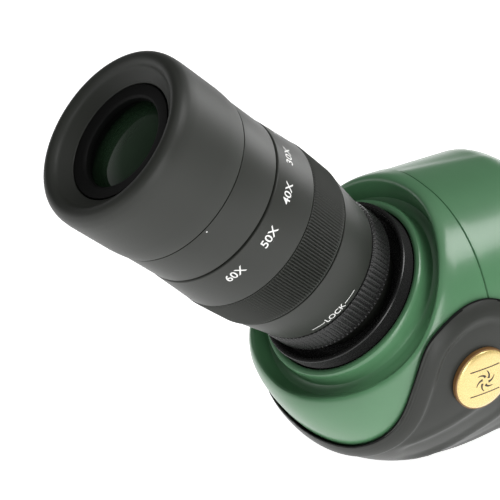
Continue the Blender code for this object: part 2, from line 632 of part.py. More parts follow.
# ---- focuser ----
def focuser(black, rubber, brass, steel, metal, glass):
    axis = along_y(0.0, 0.0, KNOB_HEIGHT)
    flange_radius = SHAFT_RADIUS + GAP
    turned("focus_bush", tube_profile(flange_radius, BUSH_RADIUS, BUSH_REAR_Y, KNOB_Y - 1.0, 0.4), axis,
           brass, 20)
    shaft_rear = NUT_Y - FOCUS_TRAVEL + 1.5
    knob_end = KNOB_Y + COARSE_LENGTH
    turned("focus_shaft", tube_profile(SHAFT_BORE, SHAFT_RADIUS, shaft_rear, knob_end - 1.0), axis, steel,
           16)
    turned("fine_shaft", pin_profile(SHAFT_BORE - GAP, BUSH_REAR_Y, knob_end + FINE_LENGTH - 2.5), axis,
           steel, 16)
    grip_depth = 1.6
    core = COARSE_RADIUS - grip_depth
    turned("coarse_knob", [(SHAFT_RADIUS + GAP, KNOB_Y), (core, KNOB_Y), (COARSE_RADIUS - 0.4, KNOB_Y),
                           (COARSE_RADIUS, KNOB_Y + 0.5), (COARSE_RADIUS, KNOB_Y + 1.5),
                           (core - GAP, KNOB_Y + 1.5),
                           (core - GAP, knob_end - 1.5), (core, knob_end - 0.6), (core - 0.8, knob_end),
                           (SHAFT_RADIUS + GAP, knob_end)], axis, black, 24)
    turned("coarse_grip", tube_profile(core, COARSE_RADIUS, KNOB_Y + 1.5 + GAP, knob_end - 1.6, 0.5), axis,
           rubber, 24)
    fine_low = knob_end + 1.0
    knob = [(0.0, fine_low + FINE_LENGTH - 3.0), (SHAFT_BORE, fine_low + FINE_LENGTH - 3.0),
            (SHAFT_BORE, fine_low),
            (FINE_RADIUS - 0.6, fine_low), (FINE_RADIUS, fine_low + 0.6),
            (FINE_RADIUS, fine_low + FINE_LENGTH - 1.2),
            (FINE_RADIUS - 1.2, fine_low + FINE_LENGTH), (0.0, fine_low + FINE_LENGTH)]
    turned("fine_knob", knob, axis, black, 24)
    bar_top = CARRIAGE_RADIUS - 0.6
    bar_low = bar_top - 2.8
    arm_rear = NUT_Y + NUT_LENGTH - 2.5
    high, low = KNOB_HEIGHT + NUT_HALF, KNOB_HEIGHT - NUT_HALF
    outline = [(NUT_Y, low), (arm_rear, low), (arm_rear, bar_low), (CARRIAGE_Y - GAP, bar_low),
               (CARRIAGE_Y - GAP, bar_top), (NUT_Y + NUT_LENGTH, bar_top), (NUT_Y + NUT_LENGTH, high),
               (NUT_Y, high)]
    nut = extruded("focus_nut", outline, 2.0 * NUT_HALF, from_fold(-NUT_HALF, 0.0, 0.0, YZ_PLANE), brass)
    cut(nut, turned("nut_thread", pin_profile(SHAFT_RADIUS + GAP, 0.0, CARRIAGE_Y), axis, brass, 16))
    carriage_end = CARRIAGE_Y + CARRIAGE_LENGTH
    seat = FOCUS_LENS_RADIUS - 0.8
    turned("focus_carriage", [(seat, CARRIAGE_Y), (CARRIAGE_RADIUS, CARRIAGE_Y),
                              (CARRIAGE_RADIUS, carriage_end),
                              (FOCUS_LENS_RADIUS + GAP, carriage_end),
                              (FOCUS_LENS_RADIUS + GAP, CARRIAGE_Y + 1.5),
                              (seat, CARRIAGE_Y + 1.5)], OPTICAL, metal, 24)
    turned("focus_lens", lens_profile(FOCUS_LENS_RADIUS, CARRIAGE_Y + 1.8, CARRIAGE_Y + 6.0, -1.2, -1.2),
           OPTICAL, glass, 24)
    turned("focus_lens_ring", tube_profile(seat, FOCUS_LENS_RADIUS, CARRIAGE_Y + 6.3, carriage_end - 0.5),
           OPTICAL, black, 32)
    turned("focus_tube", tube_profile(CARRIAGE_RADIUS + GAP, CARRIAGE_RADIUS + GAP + TUBE_LIGHT_WALL,
                                      CARRIAGE_Y - FOCUS_TRAVEL - 2.0, carriage_end + FOCUS_TRAVEL + 2.0),
           OPTICAL, black, 24)


# ---- objective end ----
def objective(green, black, rubber, felt, glass):
    sleeve = NECK_RADIUS + GAP
    rear = COLLAR_Y + COLLAR_LENGTH + GAP
    inner = TUBE_RADIUS - BARREL_WALL
    turned("objective_barrel", [(sleeve, rear), (sleeve + 2.6, rear), (sleeve + 3.2, rear + 0.6),
                                (sleeve + 3.6, BODY_FRONT_Y), (SHADE_RADIUS - 6.5, FLARE_END_Y - 18.0),
                                (SHADE_RADIUS - 2.0, FLARE_END_Y - 6.0),
                                (SHADE_RADIUS - 0.2, FLARE_END_Y - 1.0),
                                (SHADE_RADIUS, FLARE_END_Y), (SHADE_RADIUS, FLARE_END_Y + 2.0),
                                (TUBE_RADIUS, FLARE_END_Y + 2.0), (TUBE_RADIUS, BARREL_FRONT_Y),
                                (inner, BARREL_FRONT_Y), (inner, FLARE_END_Y),
                                (inner - 4.0, FLARE_END_Y - 18.0),
                                (sleeve, BODY_FRONT_Y + GAP)], OPTICAL, green, 32)
    cell_outer = inner - GAP
    bore = LENS_RADIUS + GAP
    cell_front = BARREL_FRONT_Y - 2.0
    cell_rear = cell_front - CELL_LENGTH
    turned("objective_cell", [(bore - 2.0, cell_rear), (cell_outer, cell_rear), (cell_outer, cell_front),
                              (bore, cell_front), (bore, cell_rear + 5.0), (bore - 2.0, cell_rear + 5.0)],
           OPTICAL, black, 32)
    rear_lens = cell_rear + 5.0 + GAP
    front_lens = rear_lens + 8.0 + 5.0
    turned("objective_lens_rear", lens_profile(LENS_RADIUS, rear_lens, rear_lens + 8.0, -2.6, 0.4),
           OPTICAL, glass, 24)
    turned("lens_spacer", tube_profile(LENS_RADIUS - 1.4, LENS_RADIUS, rear_lens + 8.0 + GAP,
                                       front_lens - GAP),
           OPTICAL, black, 20)
    turned("objective_lens_front", lens_profile(LENS_RADIUS, front_lens, front_lens + 4.0, 4.0, 2.8, 3),
           OPTICAL, glass, 24)
    turned("retaining_ring", tube_profile(LENS_RADIUS - 1.0, LENS_RADIUS, front_lens + 4.0 + GAP,
                                          cell_front - 0.5),
           OPTICAL, black, 20)
    turned("barrel_baffle", tube_profile(inner - 11.0, inner - GAP, FLARE_END_Y + 6.0, FLARE_END_Y + 7.2),
           OPTICAL, black, 24)
    felt_radius = TUBE_RADIUS + SHADE_CLEARANCE - GAP
    turned("shade_felt", tube_profile(TUBE_RADIUS + GAP, felt_radius, BARREL_FRONT_Y - 12.0,
                                      BARREL_FRONT_Y - 2.0),
           OPTICAL, felt, 32)
    shade_inner = SHADE_RADIUS - SHADE_WALL
    turned("sunshade", tube_profile(shade_inner, SHADE_RADIUS, FLARE_END_Y + 2.0 + GAP, SHADE_FRONT_Y, 0.5),
           OPTICAL, green, 32)
    turned("shade_bumper", tube_profile(SHADE_RADIUS + GAP, SHADE_RADIUS + BUMPER_THICK,
                                        SHADE_FRONT_Y - BUMPER_LENGTH, SHADE_FRONT_Y - 0.5, 0.6),
           OPTICAL, rubber, 32)


# ---- tripod collar, foot and clamp ----
def collar_and_foot(black, felt, brass, steel):
    ring_inner = NECK_RADIUS + GAP + LINER_THICK + GAP
    turned("collar_liner", tube_profile(NECK_RADIUS + GAP, ring_inner - GAP, COLLAR_Y + 1.0,
                                        COLLAR_Y + COLLAR_LENGTH - 1.0), OPTICAL, felt, 32)
    half = STALK_WIDTH / 2.0
    drop = AXIS_HEIGHT - PLATE_TOP
    start = acos(half / RING_RADIUS)
    outline = [(half + 2.0, -drop), (half - 2.0, -drop + 16.0)]
    for i in range(25):
        turn = -start + (pi + 2.0 * start) * i / 24
        outline.append((RING_RADIUS * cos(turn), RING_RADIUS * sin(turn)))
    outline += [(-half + 2.0, -drop + 16.0), (-half - 2.0, -drop)]
    ring = extruded("collar_ring", outline, COLLAR_LENGTH,
                    from_fold(0.0, COLLAR_Y + COLLAR_LENGTH, 0.0, XZ_PLANE), black, chamfer=0.8)
    middle = COLLAR_Y + COLLAR_LENGTH / 2.0
    leftward = Matrix.Translation((FOLD + Vector((0.0, middle, 0.0))) * MM) @ Matrix.Rotation(radians(-90.0),
                                                                                              4, "Y")
    boss = turned("clamp_boss", pin_profile(CLAMP_RADIUS - 2.5, RING_RADIUS - 3.0, CLAMP_BOSS), leftward,
                  black, 16)
    cut(ring, boss, "UNION")
    cut(ring, turned("collar_bore", pin_profile(ring_inner, COLLAR_Y - 5.0, COLLAR_Y + COLLAR_LENGTH + 5.0),
                     OPTICAL, black, 32))
    cut(ring, turned("stud_hole", pin_profile(STUD_RADIUS + GAP, 20.0, CLAMP_BOSS + 5.0), leftward, black,
                     20))
    turned("clamp_stud", pin_profile(STUD_RADIUS, ring_inner + 0.1, CLAMP_BOSS + CLAMP_LENGTH - 4.0),
           leftward,
           steel, 18)
    low, high = CLAMP_BOSS + GAP, CLAMP_BOSS + GAP + CLAMP_LENGTH
    knob = [(0.0, high - 3.5), (STUD_RADIUS + GAP, high - 3.5), (STUD_RADIUS + GAP, low),
            (CLAMP_RADIUS - 3.0, low),
            (CLAMP_RADIUS - 3.0, low + 2.5), (CLAMP_RADIUS, low + 4.0), (CLAMP_RADIUS, high - 1.2),
            (CLAMP_RADIUS - 1.2, high), (0.0, high)]
    turned("clamp_knob", knob, leftward, black, 20)

    plate = extruded("tripod_foot", rounded_box(PLATE_WIDTH / 2.0, PLATE_LENGTH / 2.0, 5.0), PLATE_THICK,
                     Matrix.Identity(4), black, chamfer=0.7)
    foot_y = middle - FOLD_TO_FOOT
    for name, side, thread in (("insert_quarter", -1.0, 3.1), ("insert_three_eighths", 1.0, 4.7)):
        place = Matrix.Translation(Vector((0.0, side * INSERT_Y, 0.0)) * MM)
        outer = thread + 1.7
        cut(plate, turned(name + "_pocket", pin_profile(outer + GAP, -5.0, INSERT_DEPTH + GAP), place, black,
                          16))
        turned(name, tube_profile(thread, outer, 0.2, INSERT_DEPTH), place, brass, 16)
    head, shank, seat = 3.7, 1.9, 4.3
    for name, side in (("foot_screw_right", 1.0), ("foot_screw_left", -1.0)):
        place = Matrix.Translation(Vector((side * SCREW_X, foot_y, 0.0)) * MM)
        drill = turned(name + "_drill", [(0.0, -5.0), (head + GAP, -5.0), (head + GAP, seat),
                                         (shank + GAP, seat),
                                         (shank + GAP, 20.0), (0.0, 20.0)], place, black, 12)
        cut(plate, drill)
        cut(ring, drill)
        turned(name, [(0.0, 2.9), (1.5, 2.9), (1.5, 0.8), (head, 0.8), (head, seat - GAP),
                      (shank, seat - GAP),
                      (shank, 18.0), (0.0, 18.0)], place, steel, 12)


for old in list(bpy.data.objects):
    bpy.data.objects.remove(old, do_unlink=True)

green = paint("green_paint", (0.10, 0.245, 0.13), 0.32)
dark = paint("dark_metal", (0.062, 0.065, 0.058), 0.4, 0.3)
black = paint("black_metal", (0.02, 0.02, 0.022), 0.35, 0.4)
rubber = paint("rubber", (0.045, 0.047, 0.043), 0.5)
armour = paint("armour_rubber", (0.06, 0.063, 0.058), 0.42)
gold = paint("badge_gold", (0.85, 0.68, 0.25), 0.3, 0.6)
glass = paint("glass", (0.02, 0.05, 0.03), 0.05)
steel = paint("steel", (0.6, 0.6, 0.6), 0.3, 1.0)
brass = paint("brass", (0.6, 0.45, 0.2), 0.35, 1.0)
aluminium = paint("aluminium", (0.5, 0.5, 0.52), 0.4, 1.0)
felt = paint("felt", (0.02, 0.02, 0.02), 0.9)

rear_cover(green)
housing = main_body(green)
rubber_armour(armour)
badge("badge_right", 1.0, gold)
badge("badge_left", -1.0, gold)
port_and_eyepiece_base(black, dark, rubber)
zoom_parts(dark, black, rubber, aluminium, glass)
eyepiece_head(dark, black, rubber, aluminium, glass)
prism_group(housing, glass, black, steel)
focuser(black, rubber, brass, steel, aluminium, glass)
objective(green, black, rubber, felt, glass)
collar_and_foot(black, felt, brass, steel)
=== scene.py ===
import bmesh
import bpy
from math import acos, atan2, cos, exp, pi, radians, sin, sqrt
from mathutils import Matrix, Vector


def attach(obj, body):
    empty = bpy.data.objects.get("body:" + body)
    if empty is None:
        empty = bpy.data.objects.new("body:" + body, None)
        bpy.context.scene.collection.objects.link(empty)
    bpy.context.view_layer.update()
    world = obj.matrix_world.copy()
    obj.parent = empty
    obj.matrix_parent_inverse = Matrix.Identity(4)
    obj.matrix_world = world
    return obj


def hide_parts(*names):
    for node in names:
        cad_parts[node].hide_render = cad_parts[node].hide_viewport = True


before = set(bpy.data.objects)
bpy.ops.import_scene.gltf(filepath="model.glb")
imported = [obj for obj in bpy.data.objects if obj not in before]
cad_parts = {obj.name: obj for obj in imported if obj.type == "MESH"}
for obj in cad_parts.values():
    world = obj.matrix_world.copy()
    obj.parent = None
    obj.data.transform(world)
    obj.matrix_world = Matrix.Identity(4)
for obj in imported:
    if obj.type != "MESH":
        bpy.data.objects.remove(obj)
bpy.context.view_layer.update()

# ---------------------------------------------------------------------------
# Studio: a pale floor under the tripod foot, a white tent of light round it, soft boxes on
# the right, overhead and beyond the objective, and the camera behind the right side.
# ---------------------------------------------------------------------------
MM = 0.001
FOLD = Vector((0.0, -125.0, 85.0))       # where the eyepiece axis meets the optical axis, mm
scene = bpy.context.scene
scene.view_settings.view_transform = "Standard"

LOOK = Vector((-0.74958, 0.39820, -0.52874))
HEAD_UP = Vector((-0.45503, 0.27012, 0.84852))
FROM_FOLD = Vector((331.17, -230.50, 279.72))
lens_data = bpy.data.cameras.new("camera")
lens_data.lens = 103.38
lens_data.sensor_width = 36.0
lens_data.clip_start = 0.01
camera = bpy.data.objects.new("camera", lens_data)
turn = Matrix((LOOK.cross(HEAD_UP), HEAD_UP, -LOOK)).transposed()
camera.matrix_world = Matrix.Translation((FOLD + FROM_FOLD) * MM) @ turn.to_4x4()
scene.collection.objects.link(camera)
scene.camera = camera

world = bpy.data.worlds.new("studio tent")
world.use_nodes = True
sky = world.node_tree
compass = sky.nodes.new("ShaderNodeTexCoord")
split = sky.nodes.new("ShaderNodeSeparateXYZ")
sky.links.new(compass.outputs["Generated"], split.inputs["Vector"])
tent = sky.nodes.new("ShaderNodeValToRGB")
TENT_LIGHT = [(0.0, 0.6), (0.12, 0.45), (0.3, 0.12), (0.6, 0.08), (0.85, 0.28), (1.0, 0.5)]
while len(tent.color_ramp.elements) < len(TENT_LIGHT):
    tent.color_ramp.elements.new(0.5)
for stop, (height, light) in zip(tent.color_ramp.elements, TENT_LIGHT):
    stop.position = height
    stop.color = (light, light, light, 1.0)
sky.links.new(split.outputs["Z"], tent.inputs["Fac"])
sky.links.new(tent.outputs["Color"], sky.nodes["Background"].inputs["Color"])
scene.world = world


def soft_box(name, spot, aim, width, height, power):
    lamp = bpy.data.lights.new(name, "AREA")
    lamp.shape = "RECTANGLE"
    lamp.size = width
    lamp.size_y = height
    lamp.energy = power
    box = bpy.data.objects.new(name, lamp)
    box.location = spot
    box.rotation_euler = (Vector(aim) - Vector(spot)).to_track_quat("-Z", "Y").to_euler()
    scene.collection.objects.link(box)


soft_box("right box", (0.95, -0.3, 0.4), (0.0, -0.1, 0.1), 0.35, 0.6, 3.2)
soft_box("overhead box", (0.35, 0.35, 0.95), (0.0, -0.1, 0.1), 0.5, 0.5, 5.0)
soft_box("far box", (-0.35, 1.1, 0.4), (0.0, -0.15, 0.17), 0.6, 0.5, 4.0)

floor_mesh = bpy.data.meshes.new("floor")
floor_mesh.from_pydata([(-6, -6, 0), (6, -6, 0), (6, 6, 0), (-6, 6, 0)], [], [(0, 1, 2, 3)])
floor = bpy.data.objects.new("floor", floor_mesh)
floor.location.z = -0.0005
scene.collection.objects.link(floor)
paper = bpy.data.materials.new("floor paper")
paper.use_nodes = True
paper.node_tree.nodes["Principled BSDF"].inputs["Base Color"].default_value = (0.93, 0.93, 0.93, 1.0)
paper.node_tree.nodes["Principled BSDF"].inputs["Roughness"].default_value = 0.9
paper.node_tree.nodes["Principled BSDF"].inputs["Specular IOR Level"].default_value = 0.1
paper.node_tree.nodes["Principled BSDF"].inputs["Emission Color"].default_value = (1.0, 1.0, 1.0, 1.0)
paper.node_tree.nodes["Principled BSDF"].inputs["Emission Strength"].default_value = 0.8
floor_mesh.materials.append(paper)

# ---------------------------------------------------------------------------
# Prism housing, rear cover: a pressure-cast alloy shell, sprayed satin green. The eyepiece
# port is turned into it: a raised lip, a round groove and a soft crest where it meets the bulb.
# ---------------------------------------------------------------------------
EYE_AXIS = Vector((0.0, -sqrt(0.5), sqrt(0.5)))
EYE_UP = Vector((0.0, sqrt(0.5), sqrt(0.5)))
OPTICAL = Matrix.Translation(FOLD * MM) @ Matrix.Rotation(radians(-90.0), 4, "X")
EYEPIECE = Matrix.Translation(FOLD * MM) @ Matrix.Rotation(radians(45.0), 4, "X")
HALF_WIDTH, TOP, BOTTOM, REAR = 43.5, 51.2, 42.5, 50.0
SEAM, SHOULDER, SADDLE, SADDLE_END, BELLY, NECK = 9.0, 36.0, 72.0, 101.0, 22.0, 80.0
COLLAR, BODY_FRONT, SADDLE_TOP, NECK_RADIUS = 110.0, 154.3, 28.0, 36.0
WALL, PORT_SEAT = 2.6, 21.0


def finish(name, colour, rough, grain=900.0, depth=0.04, mottle=0.08, metal=0.0, coat=0.0, drift=0.05,
           shine=0.5):
    """Base coat with slow colour drift, fine grain in the bump and uneven roughness."""
    made = bpy.data.materials.new(name)
    made.use_nodes = True
    nodes, links = made.node_tree.nodes, made.node_tree.links
    shader = nodes["Principled BSDF"]
    shader.inputs["Metallic"].default_value = metal
    shader.inputs["Coat Weight"].default_value = coat
    shader.inputs["Specular IOR Level"].default_value = shine
    shader.inputs["Coat Roughness"].default_value = 0.15
    where = nodes.new("ShaderNodeTexCoord")
    slow = nodes.new("ShaderNodeTexNoise")
    slow.inputs["Scale"].default_value = 45.0
    slow.inputs["Detail"].default_value = 4.0
    links.new(where.outputs["Object"], slow.inputs["Vector"])
    tint = nodes.new("ShaderNodeValToRGB")
    tint.color_ramp.elements[0].position = 0.3
    tint.color_ramp.elements[1].position = 0.7
    tint.color_ramp.elements[0].color = (*[c * (1.0 - mottle) for c in colour], 1.0)
    tint.color_ramp.elements[1].color = (*[min(1.0, c * (1.0 + mottle)) for c in colour], 1.0)
    links.new(slow.outputs["Fac"], tint.inputs["Fac"])
    links.new(tint.outputs["Color"], shader.inputs["Base Color"])
    fine = nodes.new("ShaderNodeTexNoise")
    fine.inputs["Scale"].default_value = grain
    fine.inputs["Detail"].default_value = 3.0
    links.new(where.outputs["Object"], fine.inputs["Vector"])
    uneven = nodes.new("ShaderNodeMapRange")
    uneven.inputs["To Min"].default_value = rough - drift
    uneven.inputs["To Max"].default_value = rough + drift
    links.new(fine.outputs["Fac"], uneven.inputs["Value"])
    links.new(uneven.outputs["Result"], shader.inputs["Roughness"])
    bump = nodes.new("ShaderNodeBump")
    bump.inputs["Strength"].default_value = 0.5
    bump.inputs["Distance"].default_value = depth * MM
    links.new(fine.outputs["Fac"], bump.inputs["Height"])
    links.new(bump.outputs["Normal"], shader.inputs["Normal"])
    return made


def add_piece(name, work, place, material, body, node=None, sharp=32.0):
    """Takes the mesh in mm, turns its faces outward, places it and hangs it on its body."""
    bmesh.ops.scale(work, vec=(MM, MM, MM), verts=work.verts)
    bmesh.ops.recalc_face_normals(work, faces=work.faces)
    mesh = bpy.data.meshes.new(name)
    work.to_mesh(mesh)
    work.free()
    mesh.shade_smooth()
    mesh.set_sharp_from_angle(angle=radians(sharp))
    mesh.materials.append(material)
    piece = bpy.data.objects.new(name, mesh)
    piece.matrix_world = place
    scene.collection.objects.link(piece)
    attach(piece, body)
    for replaced in ([node] if isinstance(node, str) else node or []):
        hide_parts(replaced)
    return piece


def join_rows(work, rows, closed):
    """Faces between rings of points; a ring of one point is a pole."""
    pairs = list(zip(rows, rows[1:]))
    if closed:
        pairs.append((rows[-1], rows[0]))
    for low, high in pairs:
        count = max(len(low), len(high))
        for i in range(count):
            j = (i + 1) % count
            ring = [low[i % len(low)], low[j % len(low)], high[j % len(high)], high[i % len(high)]]
            face = list(dict.fromkeys(ring))
            if len(face) > 2:
                work.faces.new(face)


def ease(share):
    share = max(0.0, min(1.0, share))
    return share * share * (3.0 - 2.0 * share)


def section(y, inset=0.0):
    shrink, shrink_below = 1.0, 1.0
    if y < 0.0:
        back = -y / (REAR - inset)
        shrink = max(0.0, 1.0 - back ** 2.2) ** (1.0 / 2.2)
        shrink_below = max(0.0, 1.0 - back ** 1.9) ** (1.0 / 1.9)
    neck = ease((y - SHOULDER) / (NECK - SHOULDER))
    width = HALF_WIDTH + (NECK_RADIUS - HALF_WIDTH) * neck
    top = TOP + (SADDLE_TOP - TOP) * ease((y - SHOULDER) / (SADDLE - SHOULDER))
    top += (NECK_RADIUS - SADDLE_TOP) * ease((y - SADDLE_END) / (COLLAR - 2.0 - SADDLE_END))
    bottom = BOTTOM + (NECK_RADIUS - BOTTOM) * ease((y - BELLY) / (NECK - BELLY))
    return (width - inset) * shrink, (top - inset) * shrink, (bottom - inset) * shrink_below, 2.3 - 0.3 * neck


def section_radius(y, turn, inset=0.0):
    width, top, bottom, power = section(y, inset)
    height = top if sin(turn) > 0.0 else bottom
    return (abs(cos(turn) / width) ** power + abs(sin(turn) / height) ** power) ** (-1.0 / power)


def outside(point, inset=0.0):
    width, top, bottom, power = section(point.y, inset)
    if min(width, top, bottom) <= 0.01:
        return 1.0
    height = top if point.z > 0.0 else bottom
    return abs(point.x / width) ** power + abs(point.z / height) ** power - 1.0


def reach(start, direction, leaves, far=120.0, tries=26):
    near = 0.0
    for _ in range(tries):
        middle = (near + far) / 2.0
        if leaves(start + direction * middle):
            far = middle
        else:
            near = middle
    return near


def port_point(radius, height, turn):
    return Vector((radius * cos(turn), 0.0, 0.0)) + EYE_UP * (radius * sin(turn)) + EYE_AXIS * height


def leaves_outer(point):
    return outside(point) > 0.0


def leaves_inner(point):
    return outside(point, WALL) > 0.0 or point.dot(EYE_AXIS) > PORT_SEAT


def swept_rows(pivot, side, first, leaves, limit, shares):
    """Points where rays from the pivot leave the form, from angle first round to the seam."""
    def hit(angle):
        direction = EYE_AXIS * cos(angle) + side * sin(angle)
        return pivot + direction * reach(pivot, direction, leaves)

    low, high = first, pi
    for _ in range(22):
        middle = (low + high) / 2.0
        if hit(middle).y > limit:
            high = middle
        else:
            low = middle
    return [hit(first + (low - first) * share) for share in shares]


green = finish("satin green paint", (0.095, 0.24, 0.118), 0.31, grain=1500.0, depth=0.02, mottle=0.05,
               coat=0.35)
PORT_TURNS = 144
SIDES_OUT, SIDES_IN = 26, 8
LIP = [(28.8, PORT_SEAT), (28.8, 30.2), (29.0, 30.7), (29.5, 31.0), (30.2, 31.1), (30.9, 30.9),
       (31.35, 30.4),
       (31.5, 29.6), (31.6, 27.0), (31.75, 25.6), (32.1, 24.9), (32.8, 24.5), (34.0, 24.4), (35.2, 24.7)]
pivot = EYE_AXIS * -10.0
columns = []
for i in range(PORT_TURNS):
    turn = 2.0 * pi * i / PORT_TURNS
    side = port_point(1.0, 0.0, turn)
    column = [port_point(radius, height, turn) for radius, height in LIP]
    wall_top = reach(port_point(38.4, 0.0, turn), EYE_AXIS, leaves_outer)
    rim_top = reach(port_point(42.0, 0.0, turn), EYE_AXIS, leaves_outer)
    wall, crest, rim = (port_point(37.2, wall_top - 3.6, turn), port_point(38.3, wall_top + 0.2, turn),
                        port_point(42.0, rim_top, turn))
    column.append(column[-1] * 0.45 + wall * 0.55)
    for k in range(9):
        share = k / 8.0
        column.append(wall * (1 - share) ** 2 + crest * 2 * share * (1 - share) + rim * share ** 2)
    start = acos((rim - pivot).normalized().dot(EYE_AXIS))
    column += swept_rows(pivot, side, start, leaves_outer, SEAM - 0.15,
                         [k / SIDES_OUT for k in range(1, SIDES_OUT + 1)])
    seam_edge = column[-1]
    column[-1] = seam_edge + Vector((0.0, -0.25, 0.0))
    column.append(seam_edge * 0.9955)
    start = atan2(32.8, 31.0)
    column += swept_rows(pivot, side, start, leaves_inner, SEAM - 0.15,
                         [k / SIDES_IN for k in range(SIDES_IN, 0, -1)])
    column.append(port_point(32.8, PORT_SEAT, turn))
    columns.append(column)
work = bmesh.new()
rows = [[work.verts.new(column[k]) for column in columns] for k in range(len(columns[0]))]
join_rows(work, rows, closed=True)
cover = add_piece("rear_cover_shell", work, Matrix.Translation(FOLD * MM), green, "scope", "rear_cover")

# ---------------------------------------------------------------------------
# Prism housing, front half: one casting from the seam to the collar journal. Its top falls
# away into the saddle where the focus knobs lie, and its front narrows to a round neck.
# ---------------------------------------------------------------------------
HOUSING_TURNS = 168
stations = [SEAM + 0.1, SEAM + 0.35] + [SEAM + 1.2 + k * 1.55 for k in range(57)] + [
    99.5, 101.0, 102.5, 104.0, 105.5, 107.0, 108.0]


def form_point(y, turn, lift=0.0):
    radius = section_radius(y, turn, -lift)
    return Vector((radius * cos(turn), y, radius * sin(turn)))


CREASE_START, CREASE_END = Vector((-10.6, 12.0)), Vector((-4.9, 36.0))


def crease_lift(y, x, z):
    """A soft facet along the left of the crown, which fades out before the saddle."""
    if z < 25.0:
        return 0.0
    share = (y - CREASE_START.y) / (CREASE_END.y - CREASE_START.y)
    line = CREASE_START.x + (CREASE_END.x - CREASE_START.x) * share
    fade = 1.0 - ease((y - 34.0) / 16.0)
    return -0.55 * fade * ease((line - x) / 5.0) * (1.0 - ease((line - x - 5.0) / 22.0))


work = bmesh.new()
rows = []
for index, y in enumerate(stations):
    tuck = -0.45 if index == 0 else (-0.08 if index == 1 else 0.0)
    row = []
    for i in range(HOUSING_TURNS):
        spot = form_point(y, 2.0 * pi * i / HOUSING_TURNS, tuck)
        spot.z += crease_lift(y, spot.x, spot.z)
        row.append(work.verts.new(spot))
    rows.append(row)
JOURNAL = [(NECK_RADIUS, COLLAR - 0.6), (NECK_RADIUS, BODY_FRONT - 0.6), (NECK_RADIUS - 0.6, BODY_FRONT),
           (NECK_RADIUS - 2.0, BODY_FRONT), (NECK_RADIUS - WALL, BODY_FRONT - 0.6),
           (NECK_RADIUS - WALL, COLLAR)]
turns = [2.0 * pi * i / HOUSING_TURNS for i in range(HOUSING_TURNS)]
for radius, y in JOURNAL:
    rows.append([work.verts.new((radius * cos(turn), y, radius * sin(turn))) for turn in turns])
for y in (101.0, 72.0, 50.0, 36.0, 22.0, SEAM + 0.1):
    rows.append([work.verts.new(form_point(y, turn, -WALL)) for turn in turns])
join_rows(work, rows, closed=True)
housing = add_piece("main_body_shell", work, Matrix.Translation(FOLD * MM), green, "scope", "main_body")

# ---------------------------------------------------------------------------
# Armour: a moulded rubber skin glued under the housing. Along the edge where it meets the paint
# its faces take a near-black material, a painted shadow for the shade in that joint. It has a raised,
# swelling rim all along its upper edge, a recessed field inside that for the badge, and sculpted finger
# hollows.
# ---------------------------------------------------------------------------
ARMOUR_FRONT = 100.0
EDGE = [(-49.0, -21.5), (-42.0, -21.3), (-37.0, -20.8), (-33.0, -18.4), (-27.0, -10.7), (-23.3, -2.7),
        (-20.2, 8.2), (-16.5, 18.4), (-11.9, 23.7), (-3.0, 28.4), (6.0, 29.3), (14.0, 26.8), (24.0, 21.0),
        (36.0, 13.0), (50.0, 5.0), (66.0, -3.0), (82.0, -7.0), (ARMOUR_FRONT, -8.0)]
ARMOUR_GAP, RIM_LIFT, RIM_WIDTH, FIELD_DROP = 0.75, 2.3, 5.6, 0.9
ACROSS = 76
EDGE_START, EDGE_STEP, EDGE_WINDOW = -47.9, 0.74, 34
# width of the band along the armour's edge that takes the near-black painted shadow, mm
PAINTED_SHADOW_WIDTH = 0.75


def armour_edge(y):
    """Height of the armour's upper edge: a smooth curve through its outline's points."""
    spot = 0
    while spot < len(EDGE) - 2 and y > EDGE[spot + 1][0]:
        spot += 1
    before, low = EDGE[max(spot - 1, 0)], EDGE[spot]
    high, after = EDGE[spot + 1], EDGE[min(spot + 2, len(EDGE) - 1)]
    span = high[0] - low[0]
    share = (y - low[0]) / span
    low_slope = span * (high[1] - before[1]) / (high[0] - before[0])
    high_slope = span * (after[1] - low[1]) / (after[0] - low[0])
    return (low[1] * (2 * share ** 3 - 3 * share ** 2 + 1) + low_slope * (share ** 3 - 2 * share ** 2 + share)
            + high[1] * (3 * share ** 2 - 2 * share ** 3) + high_slope * (share ** 3 - share ** 2))


edge_stations = [EDGE_START + EDGE_STEP * k for k in range(200)]
edge_spots = [Vector((y, armour_edge(y))) for y in edge_stations]
# each hollow: its rear and front end as (y, z), its half width and its depth
HOLLOWS = [((16.0, -9.0), (-22.0, -24.0), 4.5, 1.1), ((26.0, -16.0), (-12.0, -34.0), 4.5, 1.1),
           ((40.0, -20.0), (2.0, -40.0), 4.5, 1.0)]


def from_line(spot, start, end):
    """Distance from a stretch of line, and how far along the stretch the nearest point is."""
    along = end - start
    share = max(0.0, min(1.0, (spot - start).dot(along) / along.length_squared))
    return (spot - start - along * share).length, share


def armour_lift(y, z, from_edge):
    """How far the armour's outer face stands off the shell here."""
    swell = max(0.0, 1.0 - from_edge / RIM_WIDTH)
    lift = RIM_LIFT - 1.35 * swell ** 2 - FIELD_DROP * ease((from_edge - RIM_WIDTH) / 1.3)
    if from_edge > RIM_WIDTH:
        for start, end, width, depth in HOLLOWS:
            away, share = from_line(Vector((y, z)), Vector(start), Vector(end))
            fade = ease(share / 0.2) * ease((1.0 - share) / 0.2) * ease((from_edge - RIM_WIDTH) / 3.0)
            lift -= depth * fade * exp(-(away / width) ** 4)
            lift += 0.5 * fade * exp(-((away - width * 1.5) / 1.5) ** 2)
    return max(lift, 0.95)


def normal_point(y, turn, lift):
    """A point lifted off the housing's form along its normal."""
    radius = section_radius(y, turn)
    spot = Vector((radius * cos(turn), y, radius * sin(turn)))
    step = 0.05
    slope = Vector([outside(spot + axis * step) - outside(spot - axis * step)
                    for axis in (Vector((1, 0, 0)), Vector((0, 1, 0)), Vector((0, 0, 1)))])
    return spot + slope.normalized() * lift


